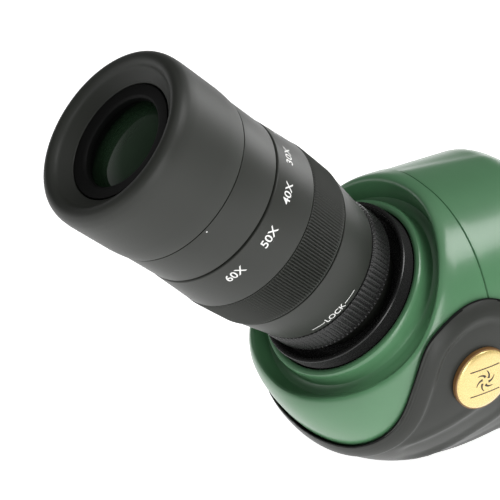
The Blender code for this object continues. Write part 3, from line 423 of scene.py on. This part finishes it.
armour_stations = ([-42.1, -41.9, -41.5] + [-41.0 + 0.75 * k for k in range(12)]
                   + [-31.8 + 0.75 * k for k in range(44)] + [1.6 + 1.2 * k for k in range(34)]
                   + [43.0 + 2.4 * k for k in range(23)] + [98.4, 99.4, ARMOUR_FRONT])
work = bmesh.new()
rings = []
for y in armour_stations:
    width, top, bottom, power = section(y)
    edge = armour_edge(y)
    height = top if edge > 0.0 else bottom
    side = width * max(0.0, 1.0 - abs(edge / height) ** power) ** (1.0 / power)
    reach_up = atan2(edge, side) + pi / 2.0
    outer, inner, in_painted_shadow = [], [], []
    for i in range(ACROSS * 2 + 1):
        share = i / ACROSS - 1.0
        share = (1.0 - (1.0 - abs(share)) ** 1.5) * (1.0 if share > 0.0 else -1.0)
        turn = -pi / 2.0 + reach_up * share
        radius = section_radius(y, turn)
        z = radius * sin(turn)
        here = int((y - EDGE_START) / EDGE_STEP)
        around = edge_spots[max(0, here - EDGE_WINDOW):here + EDGE_WINDOW + 1]
        near = min((Vector((y, z)) - spot).length for spot in around)
        near = min(near, max(0.0, ARMOUR_FRONT - y))
        outer.append(work.verts.new(normal_point(y, turn, armour_lift(y, z, near))))
        # points this close to the edge fall in the near-black painted shadow band
        in_painted_shadow.append(near < PAINTED_SHADOW_WIDTH)
        if i % 8 == 0:
            inner.append(work.verts.new(normal_point(y, turn, ARMOUR_GAP)))
    rings.append((outer, inner, in_painted_shadow))
for (outer_a, inner_a, shadow_a), (outer_b, inner_b, shadow_b) in zip(rings, rings[1:]):
    for i in range(ACROSS * 2):
        face = work.faces.new((outer_a[i], outer_a[i + 1], outer_b[i + 1], outer_b[i]))
        # a face wholly inside the band takes slot 1, the painted shadow
        face.material_index = int(shadow_a[i] and shadow_a[i + 1] and shadow_b[i] and shadow_b[i + 1])
    for i in range(len(inner_a) - 1):
        work.faces.new((inner_a[i + 1], inner_a[i], inner_b[i], inner_b[i + 1]))
    # the armour's front and rear end walls take the painted shadow too
    for k in (0, -1):
        work.faces.new((outer_a[k], outer_b[k], inner_b[k], inner_a[k])).material_index = 1
for outer, inner, line in (rings[0], rings[-1]):
    for k in range(len(inner) - 1):
        work.faces.new(outer[k * 8:k * 8 + 9] + [inner[k + 1], inner[k]])
armour_rubber = finish("moulded armour rubber", (0.036, 0.038, 0.034), 0.36, grain=2200.0, depth=0.03,
                       mottle=0.06,
                       shine=0.25)
armour = add_piece("armour_skin", work, Matrix.Translation(FOLD * MM), armour_rubber, "scope",
                   "rubber_armour", 40.0)
# near-black material that paints the shadow in the joint between the armour and the green paint
edge_shadow = finish("armour edge painted shadow", (0.004, 0.0045, 0.004), 0.6, grain=2200.0, depth=0.02, mottle=0.06,
                     shine=0.1)
armour.data.materials.append(edge_shadow)

# ---------------------------------------------------------------------------
# Badges: a domed resin drop over gold foil in a thin brown cup, one glued on each side of the
# armour. The mark printed on it is a plain six-bladed shutter between two fine rules.
# ---------------------------------------------------------------------------
BADGE_SPOT, BADGE_LEAN = Vector((45.9, 2.5, 5.0)), 6.0


def rounded(points, size, steps=4, closed=True):
    """Rounds each corner of an outline given as (radius, height), by at most the size given."""
    made = []
    count = len(points)
    for i, (radius, height) in enumerate(points):
        here = Vector((radius, height))
        if not closed and i in (0, count - 1):
            made.append((radius, height))
            continue
        before, after = Vector(points[i - 1]), Vector(points[(i + 1) % count])
        cut_in = min(size, 0.42 * (before - here).length, 0.42 * (after - here).length)
        start, end = here + (before - here).normalized() * cut_in, here + (after - here).normalized() * cut_in
        for k in range(steps + 1):
            share = k / steps
            point = start * (1 - share) ** 2 + here * 2 * share * (1 - share) + end * share ** 2
            made.append((point.x, point.y))
    return made


def turned(outline, sides=144, ripple=None):
    """A closed outline of (radius, height) turned round local Z. Radius 0 makes a pole."""
    work = bmesh.new()
    rows = []
    for radius, height in outline:
        if radius < 0.001:
            rows.append([work.verts.new((0.0, 0.0, height))])
            continue
        row = []
        for i in range(sides):
            turn = 2.0 * pi * i / sides
            here = radius + (ripple(turn, radius, height) if ripple else 0.0)
            row.append(work.verts.new((here * cos(turn), here * sin(turn), height)))
        rows.append(row)
    join_rows(work, rows, closed=len(rows[0]) > 1)
    return work


gold = finish("gold badge foil", (0.80, 0.60, 0.22), 0.28, grain=1800.0, depth=0.004, mottle=0.05,
              metal=0.35, coat=1.0)
badge_edge = finish("badge cup", (0.22, 0.11, 0.035), 0.4, grain=1500.0, depth=0.01)
badge_ink = finish("dark brown ink", (0.03, 0.018, 0.008), 0.45, grain=2500.0, depth=0.004)
for side, word in ((1.0, "right"), (-1.0, "left")):
    spot = FOLD + Vector((side * BADGE_SPOT.x, BADGE_SPOT.y, BADGE_SPOT.z))
    tilt = radians(90.0) * side - radians(BADGE_LEAN) * side
    place = Matrix.Translation(spot * MM) @ Matrix.Rotation(tilt, 4, "Y")
    dome = [(0.0, 1.9), (2.6, 1.88), (5.2, 1.76), (7.4, 1.55), (8.9, 1.3), (9.8, 1.02), (10.1, 0.75),
            (10.1, 0.3), (0.0, 0.3)]
    drop = add_piece("badge_dome_" + word, turned(dome, 96), place, gold, "scope", "badge_" + word, 50.0)
    cup = rounded([(10.15, 0.3), (10.15, 0.75), (10.5, 0.6), (10.5, -0.9), (9.0, -0.9), (9.0, 0.0)], 0.12)
    add_piece("badge_cup_" + word, turned(cup, 96), place, badge_edge, "scope", "badge_" + word)
    work = bmesh.new()
    bars = [(-4.7, -5.6, -4.3, 5.6), (4.3, -5.6, 4.7, 5.6)]
    for low_x, low_y, high_x, high_y in bars:
        for k in range(12):
            near, far = low_y + (high_y - low_y) * k / 12, low_y + (high_y - low_y) * (k + 1) / 12
            corners = [(low_x, near), (high_x, near), (high_x, far), (low_x, far)]
            work.faces.new([work.verts.new((x, y, 1.95 - 0.0065 * (x * x + y * y))) for x, y in corners])
    for blade in range(6):
        turn = pi / 3.0 * blade
        for k in range(8):
            low, high = k / 8.0, (k + 1) / 8.0
            corners = []
            for share, wide in ((low, -0.5), (high, -0.5), (high, 0.5), (low, 0.5)):
                swing = turn + 0.9 * share
                reach_out = 1.3 + 2.3 * share
                point = Vector((reach_out * cos(swing), reach_out * sin(swing)))
                point += Vector((-sin(swing + 0.7), cos(swing + 0.7))) * wide * (0.9 - 0.65 * share)
                corners.append(point)
            work.faces.new([work.verts.new((p.x, p.y, 1.95 - 0.0065 * p.length_squared)) for p in corners])
    add_piece("badge_mark_" + word, work, place, badge_ink, "scope", "badge_" + word)

# ---------------------------------------------------------------------------
# Eyepiece mount: a black anodised port ring screwed into the housing, threaded outside, and the
# eyepiece's barrel in it with its plain collar, lettered LOCK, and a ribbed locking ring.
# ---------------------------------------------------------------------------
BARREL, BORE = 20.7, 17.6
THREAD_LOW, THREAD_HIGH, THREAD_PITCH, THREAD_DEPTH, THREAD_RADIUS = 30.7, 35.2, 0.64, 0.42, 28.4


def ribs(count, depth, low, high, sharpness=1.0, least=0.0):
    """Ribs cut along a ring between two heights, on its outer face only."""
    def lower(turn, radius, height):
        if radius < least:
            return 0.0
        fade = ease((height - low) / 0.5) * ease((high - height) / 0.5)
        wave = 0.5 + 0.5 * cos(count * turn)
        return -depth * fade * (1.0 - wave ** sharpness)
    return lower


black = finish("black anodising", (0.02, 0.02, 0.02), 0.27, grain=1600.0, depth=0.01, mottle=0.1, metal=0.25)
dark = finish("satin charcoal paint", (0.022, 0.024, 0.020), 0.42, grain=2600.0, depth=0.012, mottle=0.05,
              shine=0.4)
rubber = finish("smooth black rubber", (0.021, 0.023, 0.019), 0.48, grain=2400.0, depth=0.015, mottle=0.06,
                shine=0.4)
deep_black = finish("inner matt black", (0.003, 0.0032, 0.003), 0.55, grain=2400.0, depth=0.01, mottle=0.06,
                    shine=0.15)
white_paint = finish("white engraving paint", (0.86, 0.86, 0.84), 0.5, grain=2500.0, depth=0.004)

port_outline = [(21.0, 16.5), (31.0, 16.5), (31.0, 20.7), (THREAD_RADIUS, 20.7), (THREAD_RADIUS, THREAD_LOW)]
turn_count = int((THREAD_HIGH - THREAD_LOW) / THREAD_PITCH)
for k in range(turn_count):
    low = THREAD_LOW + THREAD_PITCH * k
    port_outline += [(THREAD_RADIUS - THREAD_DEPTH, low + THREAD_PITCH * 0.35),
                     (THREAD_RADIUS - THREAD_DEPTH, low + THREAD_PITCH * 0.5),
                     (THREAD_RADIUS, low + THREAD_PITCH * 0.85), (THREAD_RADIUS, low + THREAD_PITCH)]
port_outline += [(THREAD_RADIUS, 35.3), (28.2, 35.6), (27.8, 35.7), (27.2, 35.6), (26.7, 35.2), (26.3, 34.2),
                 (25.9, 32.0), (25.3, 31.2), (21.0, 30.7)]
port = add_piece("port_ring_threaded", turned(port_outline, 160), EYEPIECE, black, "scope", "port_ring")

barrel_outline = rounded([(BORE, 17.0), (BARREL, 17.0), (BARREL, 22.0), (19.5, 22.0), (19.5, 24.2),
                          (BARREL, 24.2),
                          (BARREL, 47.7), (24.9, 47.7), (27.35, 65.0), (19.4, 65.0), (19.4, 50.0),
                          (BORE, 50.0)], 0.35)
base = add_piece("eyepiece_barrel", turned(barrel_outline), EYEPIECE, dark, "scope", "eyepiece_base")

lock_outline = [(21.0, 38.2), (24.5, 38.2), (25.0, 38.35), (25.3, 38.8), (25.4, 39.4), (25.4, 40.4),
                (25.4, 42.5), (25.4, 45.2),
                (25.4, 46.2), (25.3, 46.8), (25.0, 47.2), (24.5, 47.4), (21.0, 47.4)]
lock_ring = turned(lock_outline, 96 * 8, ribs(96, 0.55, 38.3, 47.4, 0.8, 24.4))
lock = add_piece("lock_ring_ribbed", lock_ring, EYEPIECE, black, "lock", "lock_ring")


def lettering(name, words, size, centre, middle, radius_at, body, node, spread=1.0):
    """Letters filled with paint, wrapped round the ring with their tops toward the eye."""
    letters = bpy.data.curves.new(name, "FONT")
    letters.body = words
    letters.size = size
    letters.align_x = "CENTER"
    letters.align_y = "CENTER"
    letters.offset = size * 0.012
    letters.space_character = spread
    holder = bpy.data.objects.new(name + "_outline", letters)
    scene.collection.objects.link(holder)
    bpy.context.view_layer.update()
    flat = bpy.data.meshes.new_from_object(holder.evaluated_get(bpy.context.evaluated_depsgraph_get()))
    bpy.data.objects.remove(holder)
    work = bmesh.new()
    work.from_mesh(flat)
    bmesh.ops.subdivide_edges(work, edges=[edge for edge in work.edges if edge.calc_length() > 0.5], cuts=1)
    for vert in work.verts:
        height = middle + vert.co.y
        radius = radius_at(height) + 0.04
        turn = radians(centre) + vert.co.x / radius
        vert.co = Vector((radius * cos(turn), radius * sin(turn), height))
    return add_piece(name, work, EYEPIECE, white_paint, body, node, 60.0)


def wrapped_bar(name, start, end, low, high, radius_at, body, node):
    work = bmesh.new()
    rows = []
    for k in range(13):
        turn = radians(start + (end - start) * k / 12.0)
        rows.append([work.verts.new(((radius_at(h) + 0.04) * cos(turn), (radius_at(h) + 0.04) * sin(turn),
                                     h))
                     for h in (low, high)])
    for a, b in zip(rows, rows[1:]):
        work.faces.new((a[0], b[0], b[1], a[1]))
    return add_piece(name, work, EYEPIECE, white_paint, body, node)


def collar_radius(height):
    return 24.9 + 2.45 * (height - 47.7) / 17.3


lettering("lock_word", "LOCK", 3.0, -11.8, 49.7, collar_radius, "scope", "eyepiece_base")
wrapped_bar("lock_rule_upper", -2.0, 9.5, 49.55, 49.8, collar_radius, "scope", "eyepiece_base")
wrapped_bar("lock_rule_lower", -33.0, -21.6, 49.55, 49.8, collar_radius, "scope", "eyepiece_base")

# ---------------------------------------------------------------------------
# Zoom ring: turned alloy with a ribbed rubber band round its rear half and the power scale
# engraved on its front half. Its cam sleeve slides the two lens cells inside.
# ---------------------------------------------------------------------------
SCALE_LOW, SCALE_HIGH, SCALE_RADIUS = 81.7, 97.1, 28.2


def scale_radius(height):
    return SCALE_RADIUS - (height - SCALE_LOW) / (SCALE_HIGH - SCALE_LOW)


zoom_outline = rounded([(21.2, 65.3), (26.2, 65.3), (26.2, 81.7), (28.2, 81.7), (27.2, 97.1), (26.7, 97.4),
                        (21.2, 97.4)], 0.3)
zoom_ring = add_piece("zoom_ring_turned", turned(zoom_outline), EYEPIECE, dark, "zoom", "zoom_ring")
grip_outline = [(26.5, 65.6), (27.1, 65.6), (27.5, 65.7), (27.75, 66.1), (27.85, 66.6), (27.95, 67.2),
                (28.05, 70.0),
                (28.2, 73.5), (28.3, 77.0), (28.42, 80.0), (28.4, 80.6), (28.3, 81.0), (28.0, 81.3),
                (27.6, 81.4),
                (26.5, 81.4)]
GRIP_RIBS = 186
grip = turned(grip_outline, GRIP_RIBS * 6, ribs(GRIP_RIBS, 0.62, 65.9, 81.35, 0.8, 27.1))
grip_band = add_piece("zoom_grip_ribbed", grip, EYEPIECE, rubber, "zoom", "zoom_grip")
POWER_MARKS = {"60X": -23.7, "50X": 7.2, "40X": 36.6, "30X": 63.7, "20X": 91.0}
for words, centre in POWER_MARKS.items():
    lettering("scale_" + words, words, 3.9, centre, 92.0, scale_radius, "zoom", "zoom_ring", 1.02)

# ---------------------------------------------------------------------------
# Eyepiece head: the fixed ring under the eyecup with its index dot, the twist-up eyecup of
# moulded rubber over its sleeve, and the bezel that holds the coated eye lens.
# ---------------------------------------------------------------------------
head_outline = rounded([(21.8, 98.0), (27.0, 98.0), (27.0, 112.0), (21.8, 112.0)], 0.15)
head_ring = add_piece("head_ring_turned", turned(head_outline), EYEPIECE, dark, "scope", "head_ring")


def head_radius(height):
    return 27.0


wrapped_bar("index_dot", -11.1, -10.2, 110.8, 111.2, head_radius, "scope", "head_ring")

CUP = [(24.5, 112.2), (26.9, 112.2), (27.1, 112.5), (27.4, 115.0), (27.6, 118.0), (27.6, 126.0),
       (27.6, 133.2),
       (27.35, 135.8), (26.7, 137.6), (25.6, 138.7), (24.4, 139.0), (23.3, 138.7), (22.4, 137.9),
       (21.8, 136.9),
       (20.6, 135.9), (18.9, 134.5), (18.3, 134.1), (18.3, 132.3), (24.5, 131.3)]
cup = add_piece("eyecup_moulded", turned(rounded(CUP, 1.2, 3)), EYEPIECE, rubber, "eyecup_rise", "eyecup",
                50.0)
HEAD = [(19.4, 97.7), (21.5, 97.7), (21.5, 131.0), (17.9, 131.0), (17.9, 134.2), (14.6, 133.9),
        (13.9, 133.3),
        (13.9, 131.5), (16.3, 131.5), (16.3, 112.0), (19.4, 112.0)]
head = add_piece("eye_head_turned", turned(rounded(HEAD, 0.25, 3)), EYEPIECE, deep_black, "scope",
                 "eye_head")


def glass_finish(name, tint, rough=0.02, coat=0.25, mottle=0.15):
    """Dark coated glass: near-black green depth under a bright polished surface."""
    made = finish(name, tint, rough + 0.01, grain=300.0, depth=0.0005, mottle=mottle, coat=coat, drift=0.01)
    made.node_tree.nodes["Principled BSDF"].inputs["Coat Roughness"].default_value = 0.02
    made.node_tree.nodes["Principled BSDF"].inputs["Specular IOR Level"].default_value = 0.3
    return made


eye_glass = glass_finish("coated eye lens", (0.018, 0.04, 0.02))
lens_outline = [(0.0, 131.0), (4.0, 130.87), (8.0, 130.45), (11.5, 129.8), (13.6, 129.3), (16.0, 128.7),
                (16.0, 125.0),
                (12.0, 123.6), (6.0, 122.8), (0.0, 122.6)]
eye_lens = add_piece("eye_lens_coated", turned(lens_outline, 96), EYEPIECE, eye_glass, "scope", "eye_lens",
                     60.0)

# ---------------------------------------------------------------------------
# Focuser: a coarse knob with a ribbed rubber band and a fine knob ahead of it, on two coaxial
# steel shafts that run back through a brass bush into the housing.
# ---------------------------------------------------------------------------
KNOB_HEIGHT, KNOB_Y = 42.2, 71.5
COARSE_RADIUS, COARSE_LENGTH, FINE_RADIUS, FINE_LENGTH = 13.0, 17.0, 10.5, 9.0
knob_centre = FOLD + Vector((0.0, 0.0, KNOB_HEIGHT))
KNOBS = Matrix.Translation(knob_centre * MM) @ Matrix.Rotation(radians(-90.0), 4, "X")
knob_end = KNOB_Y + COARSE_LENGTH
coarse_outline = rounded([(3.3, KNOB_Y), (12.6, KNOB_Y), (COARSE_RADIUS, KNOB_Y + 0.5),
                          (COARSE_RADIUS, KNOB_Y + 1.5), (11.1, KNOB_Y + 1.5), (11.1, knob_end - 1.5),
                          (11.4, knob_end - 0.6), (10.6, knob_end), (3.3, knob_end)], 0.3)
coarse = add_piece("coarse_knob_turned", turned(coarse_outline, 96), KNOBS, black, "coarse_focus",
                   "coarse_knob")
band_outline = rounded([(11.4, KNOB_Y + 1.8), (COARSE_RADIUS, KNOB_Y + 1.8), (COARSE_RADIUS, knob_end - 1.6),
                        (11.4, knob_end - 1.6)], 0.7)
band_ribs = ribs(48, 0.7, KNOB_Y + 2.0, knob_end - 1.8, 0.7, 12.0)
band = add_piece("coarse_grip_ribbed", turned(band_outline, 48 * 10, band_ribs), KNOBS, rubber,
                 "coarse_focus", "coarse_grip")
fine_low = knob_end + 1.0
fine_high = fine_low + FINE_LENGTH
fine_rim = [(1.9, fine_high - 3.0), (1.9, fine_low), (9.9, fine_low), (FINE_RADIUS, fine_low + 0.6),
            (FINE_RADIUS, fine_low + 3.0), (FINE_RADIUS, fine_low + 6.0), (FINE_RADIUS, fine_high - 1.2),
            (9.3, fine_high), (6.5, fine_high), (6.2, fine_high - 0.4), (0.0, fine_high - 0.4)]
fine_outline = [(0.0, fine_high - 3.0)] + rounded(fine_rim, 0.25, 2, closed=False)
fine_ribs = ribs(60, 0.45, fine_low + 0.8, fine_high - 1.3, 0.8, 10.0)
fine = add_piece("fine_knob_ribbed", turned(fine_outline, 60 * 8, fine_ribs), KNOBS, black, "fine_focus",
                 "fine_knob")

# ---------------------------------------------------------------------------
# Objective barrel: a turned alloy tube, flared out to the front tube that the sunshade slides
# on. Both are sprayed green; a rubber bumper rings the sunshade's mouth.
# ---------------------------------------------------------------------------
OBJECTIVE_BARREL = [(36.3, 140.3), (38.9, 140.3), (39.5, 140.9), (39.9, 154.3), (41.2, 162.0), (44.7, 177.0),
                    (47.4, 184.5), (49.2, 189.0), (50.6, 192.6), (51.2, 195.0), (51.2, 197.0), (47.6, 197.0),
                    (47.6, 263.0), (45.4, 263.0), (45.4, 195.0), (41.4, 177.0), (36.3, 154.6)]
barrel = add_piece("objective_barrel_turned", turned(rounded(OBJECTIVE_BARREL, 1.4, 3), 160), OPTICAL, green,
                   "scope",
                   "objective_barrel", 40.0)
SHADE = [(48.6, 197.3), (51.2, 197.3), (51.2, 202.0), (50.9, 202.4), (50.9, 203.2), (51.2, 203.6),
         (51.2, 230.0),
         (51.2, 269.4), (51.0, 270.4), (51.0, 280.6), (50.4, 281.0), (49.0, 281.0), (48.6, 280.6)]
shade = add_piece("sunshade_turned", turned(rounded(SHADE, 0.4, 3), 160), OPTICAL, green, "sunshade_body",
                  "sunshade")
BUMPER = [(51.5, 271.2), (52.4, 271.2), (53.0, 272.0), (53.0, 273.6), (52.6, 274.0), (52.6, 274.5),
          (53.0, 274.9),
          (53.0, 279.4), (52.3, 280.4), (51.5, 280.5)]
bumper = add_piece("shade_bumper_moulded", turned(rounded(BUMPER, 0.4, 3), 160), OPTICAL, rubber,
                   "sunshade_body",
                   "shade_bumper")
front_glass = glass_finish("coated objective lens", (0.012, 0.03, 0.022))
LENS_FRONT = 245.6 + 4.0
GLASS = [(0.0, LENS_FRONT + 2.8), (10.0, LENS_FRONT + 2.65), (20.0, LENS_FRONT + 2.2),
         (30.0, LENS_FRONT + 1.44),
         (38.0, LENS_FRONT + 0.6), (42.6, LENS_FRONT), (43.0, LENS_FRONT - 0.3), (43.0, LENS_FRONT - 3.7),
         (30.0, LENS_FRONT - 6.0), (0.0, LENS_FRONT - 7.9)]
objective = add_piece("objective_lens_coated", turned(GLASS, 144), OPTICAL, front_glass, "scope",
                      "objective_lens_front", 60.0)

# ---------------------------------------------------------------------------
# Tripod collar: a cast ring with a stalk and a foot plate, lined with felt so that the scope
# turns in it, and locked by a lobed knob on the left. Two screws hold the plate to the stalk.
# ---------------------------------------------------------------------------
RING_RADIUS, RING_BORE, STALK, COLLAR_END, PLATE_TOP = 42.0, 37.6, 13.0, 140.0, 9.3
CHAMFER = 0.8
drop = FOLD.z - PLATE_TOP
start = acos(STALK / RING_RADIUS)
COLLAR_POINTS = 120
outer = []
for k in range(COLLAR_POINTS):
    turn = -start + (pi + 2.0 * start) * k / (COLLAR_POINTS - 1)
    outer.append((Vector((RING_RADIUS * cos(turn), RING_RADIUS * sin(turn))), turn))
fillets = []
for k in range(1, 12):
    share = k / 12.0
    level = -drop + (drop - RING_RADIUS * sin(start)) * share
    flare = 2.4 * (1.0 - share) ** 3 + 2.0 * share ** 6
    fillets.append(Vector((STALK - 0.2 + flare, level)))
left = [(Vector((-spot.x, spot.y)), atan2(spot.y, -spot.x)) for spot in reversed(fillets)]
foot_line = [(Vector((x, -drop)), atan2(-drop, x)) for x in [-15.2 + 30.4 * k / 10.0 for k in range(11)]]
right = [(spot, atan2(spot.y, spot.x)) for spot in fillets]
loop = outer + left + foot_line + right
work = bmesh.new()
rows = []
for y, inset in ((COLLAR, CHAMFER), (COLLAR + CHAMFER, 0.0), (COLLAR_END - CHAMFER, 0.0),
                 (COLLAR_END, CHAMFER)):
    row = []
    for spot, turn in loop:
        if spot.y > -RING_RADIUS:
            inward = Vector((cos(turn), sin(turn))) * inset
        else:
            inward = Vector((inset if spot.x > 0 else -inset, 0.0))
        flat = spot - inward
        row.append(work.verts.new((flat.x, y, max(flat.y, -drop))))
    rows.append(row)
for y, radius in ((COLLAR_END, RING_BORE + 0.5), (COLLAR_END - 0.5, RING_BORE), (COLLAR + 0.5, RING_BORE),
                  (COLLAR, RING_BORE + 0.5)):
    rows.append([work.verts.new((radius * cos(turn), y, radius * sin(turn))) for spot, turn in loop])
join_rows(work, rows, closed=True)
collar = add_piece("collar_ring_cast", work, Matrix.Translation(FOLD * MM), black, "foot", "collar_ring",
                   40.0)
ring_centre = FOLD + Vector((0.0, 125.0, 0.0))
LEFTWARD = Matrix.Translation(ring_centre * MM) @ Matrix.Rotation(radians(-90.0), 4, "Y")
BOSS = rounded([(3.3, 40.0), (9.2, 40.0), (8.5, 42.6), (8.5, 47.0), (3.3, 47.0)], 0.5)
add_piece("clamp_boss_cast", turned(BOSS, 72), LEFTWARD, black, "foot", "collar_ring")
KNOB = rounded([(0.0, 56.8), (3.3, 56.8), (3.3, 47.3), (8.0, 47.3), (8.0, 49.8), (11.0, 51.3), (11.0, 53.5),
                (11.0, 57.5),
                (11.0, 59.1), (9.8, 60.3), (6.0, 60.3), (5.6, 60.0), (0.0, 60.0)], 0.4, 3, closed=False)
knob = add_piece("clamp_knob_lobed", turned(KNOB, 20 * 12, ribs(20, 0.9, 50.6, 60.0, 0.7, 9.9)), LEFTWARD,
                 black, "clamp",
                 "clamp_knob")

# ---------------------------------------------------------------------------
# What stays as it was turned or pressed: the foot plate, the inner optics, cells, shafts,
# screws, bushes, felts and seals. Each takes its own finish.
# ---------------------------------------------------------------------------
steel = finish("machined steel", (0.56, 0.56, 0.57), 0.28, grain=1400.0, depth=0.008, metal=1.0)
brass = finish("turned brass", (0.62, 0.45, 0.19), 0.3, grain=1400.0, depth=0.008, metal=1.0)
alloy = finish("turned alloy", (0.58, 0.58, 0.6), 0.34, grain=1400.0, depth=0.008, metal=1.0)
felt = finish("black felt", (0.018, 0.018, 0.018), 0.92, grain=3000.0, depth=0.15, mottle=0.3)
inner_glass = glass_finish("uncoated crown glass", (0.03, 0.05, 0.045))
matt_black = finish("matt black lining", (0.012, 0.012, 0.012), 0.75, grain=2000.0, depth=0.05, mottle=0.2)
FINISHES = [
    (black, ["tripod_foot"]),
    (matt_black, ["prism_holder", "focus_tube", "objective_cell", "lens_spacer", "retaining_ring",
                  "barrel_baffle", "field_cell", "variator_cell", "focus_lens_ring", "eyecup_sleeve"]),
    (steel, ["prism_clip", "prism_screw_right", "prism_screw_left", "focus_shaft", "fine_shaft",
             "clamp_stud", "foot_screw_right", "foot_screw_left"]),
    (brass, ["focus_bush", "focus_nut", "insert_quarter", "insert_three_eighths"]),
    (alloy, ["guide_tube", "cam_sleeve", "eyecup_detent_ring", "focus_carriage"]),
    (felt, ["collar_liner", "shade_felt"]),
    (rubber, ["eyepiece_seal"]),
    (inner_glass, ["prism", "field_lens", "variator_lens", "focus_lens", "objective_lens_rear"]),
]
for finish_used, node_names in FINISHES:
    for node_name in node_names:
        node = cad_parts[node_name]
        if not node.data.materials:
            node.data.materials.append(finish_used)
        for slot in node.material_slots:
            slot.material = finish_used
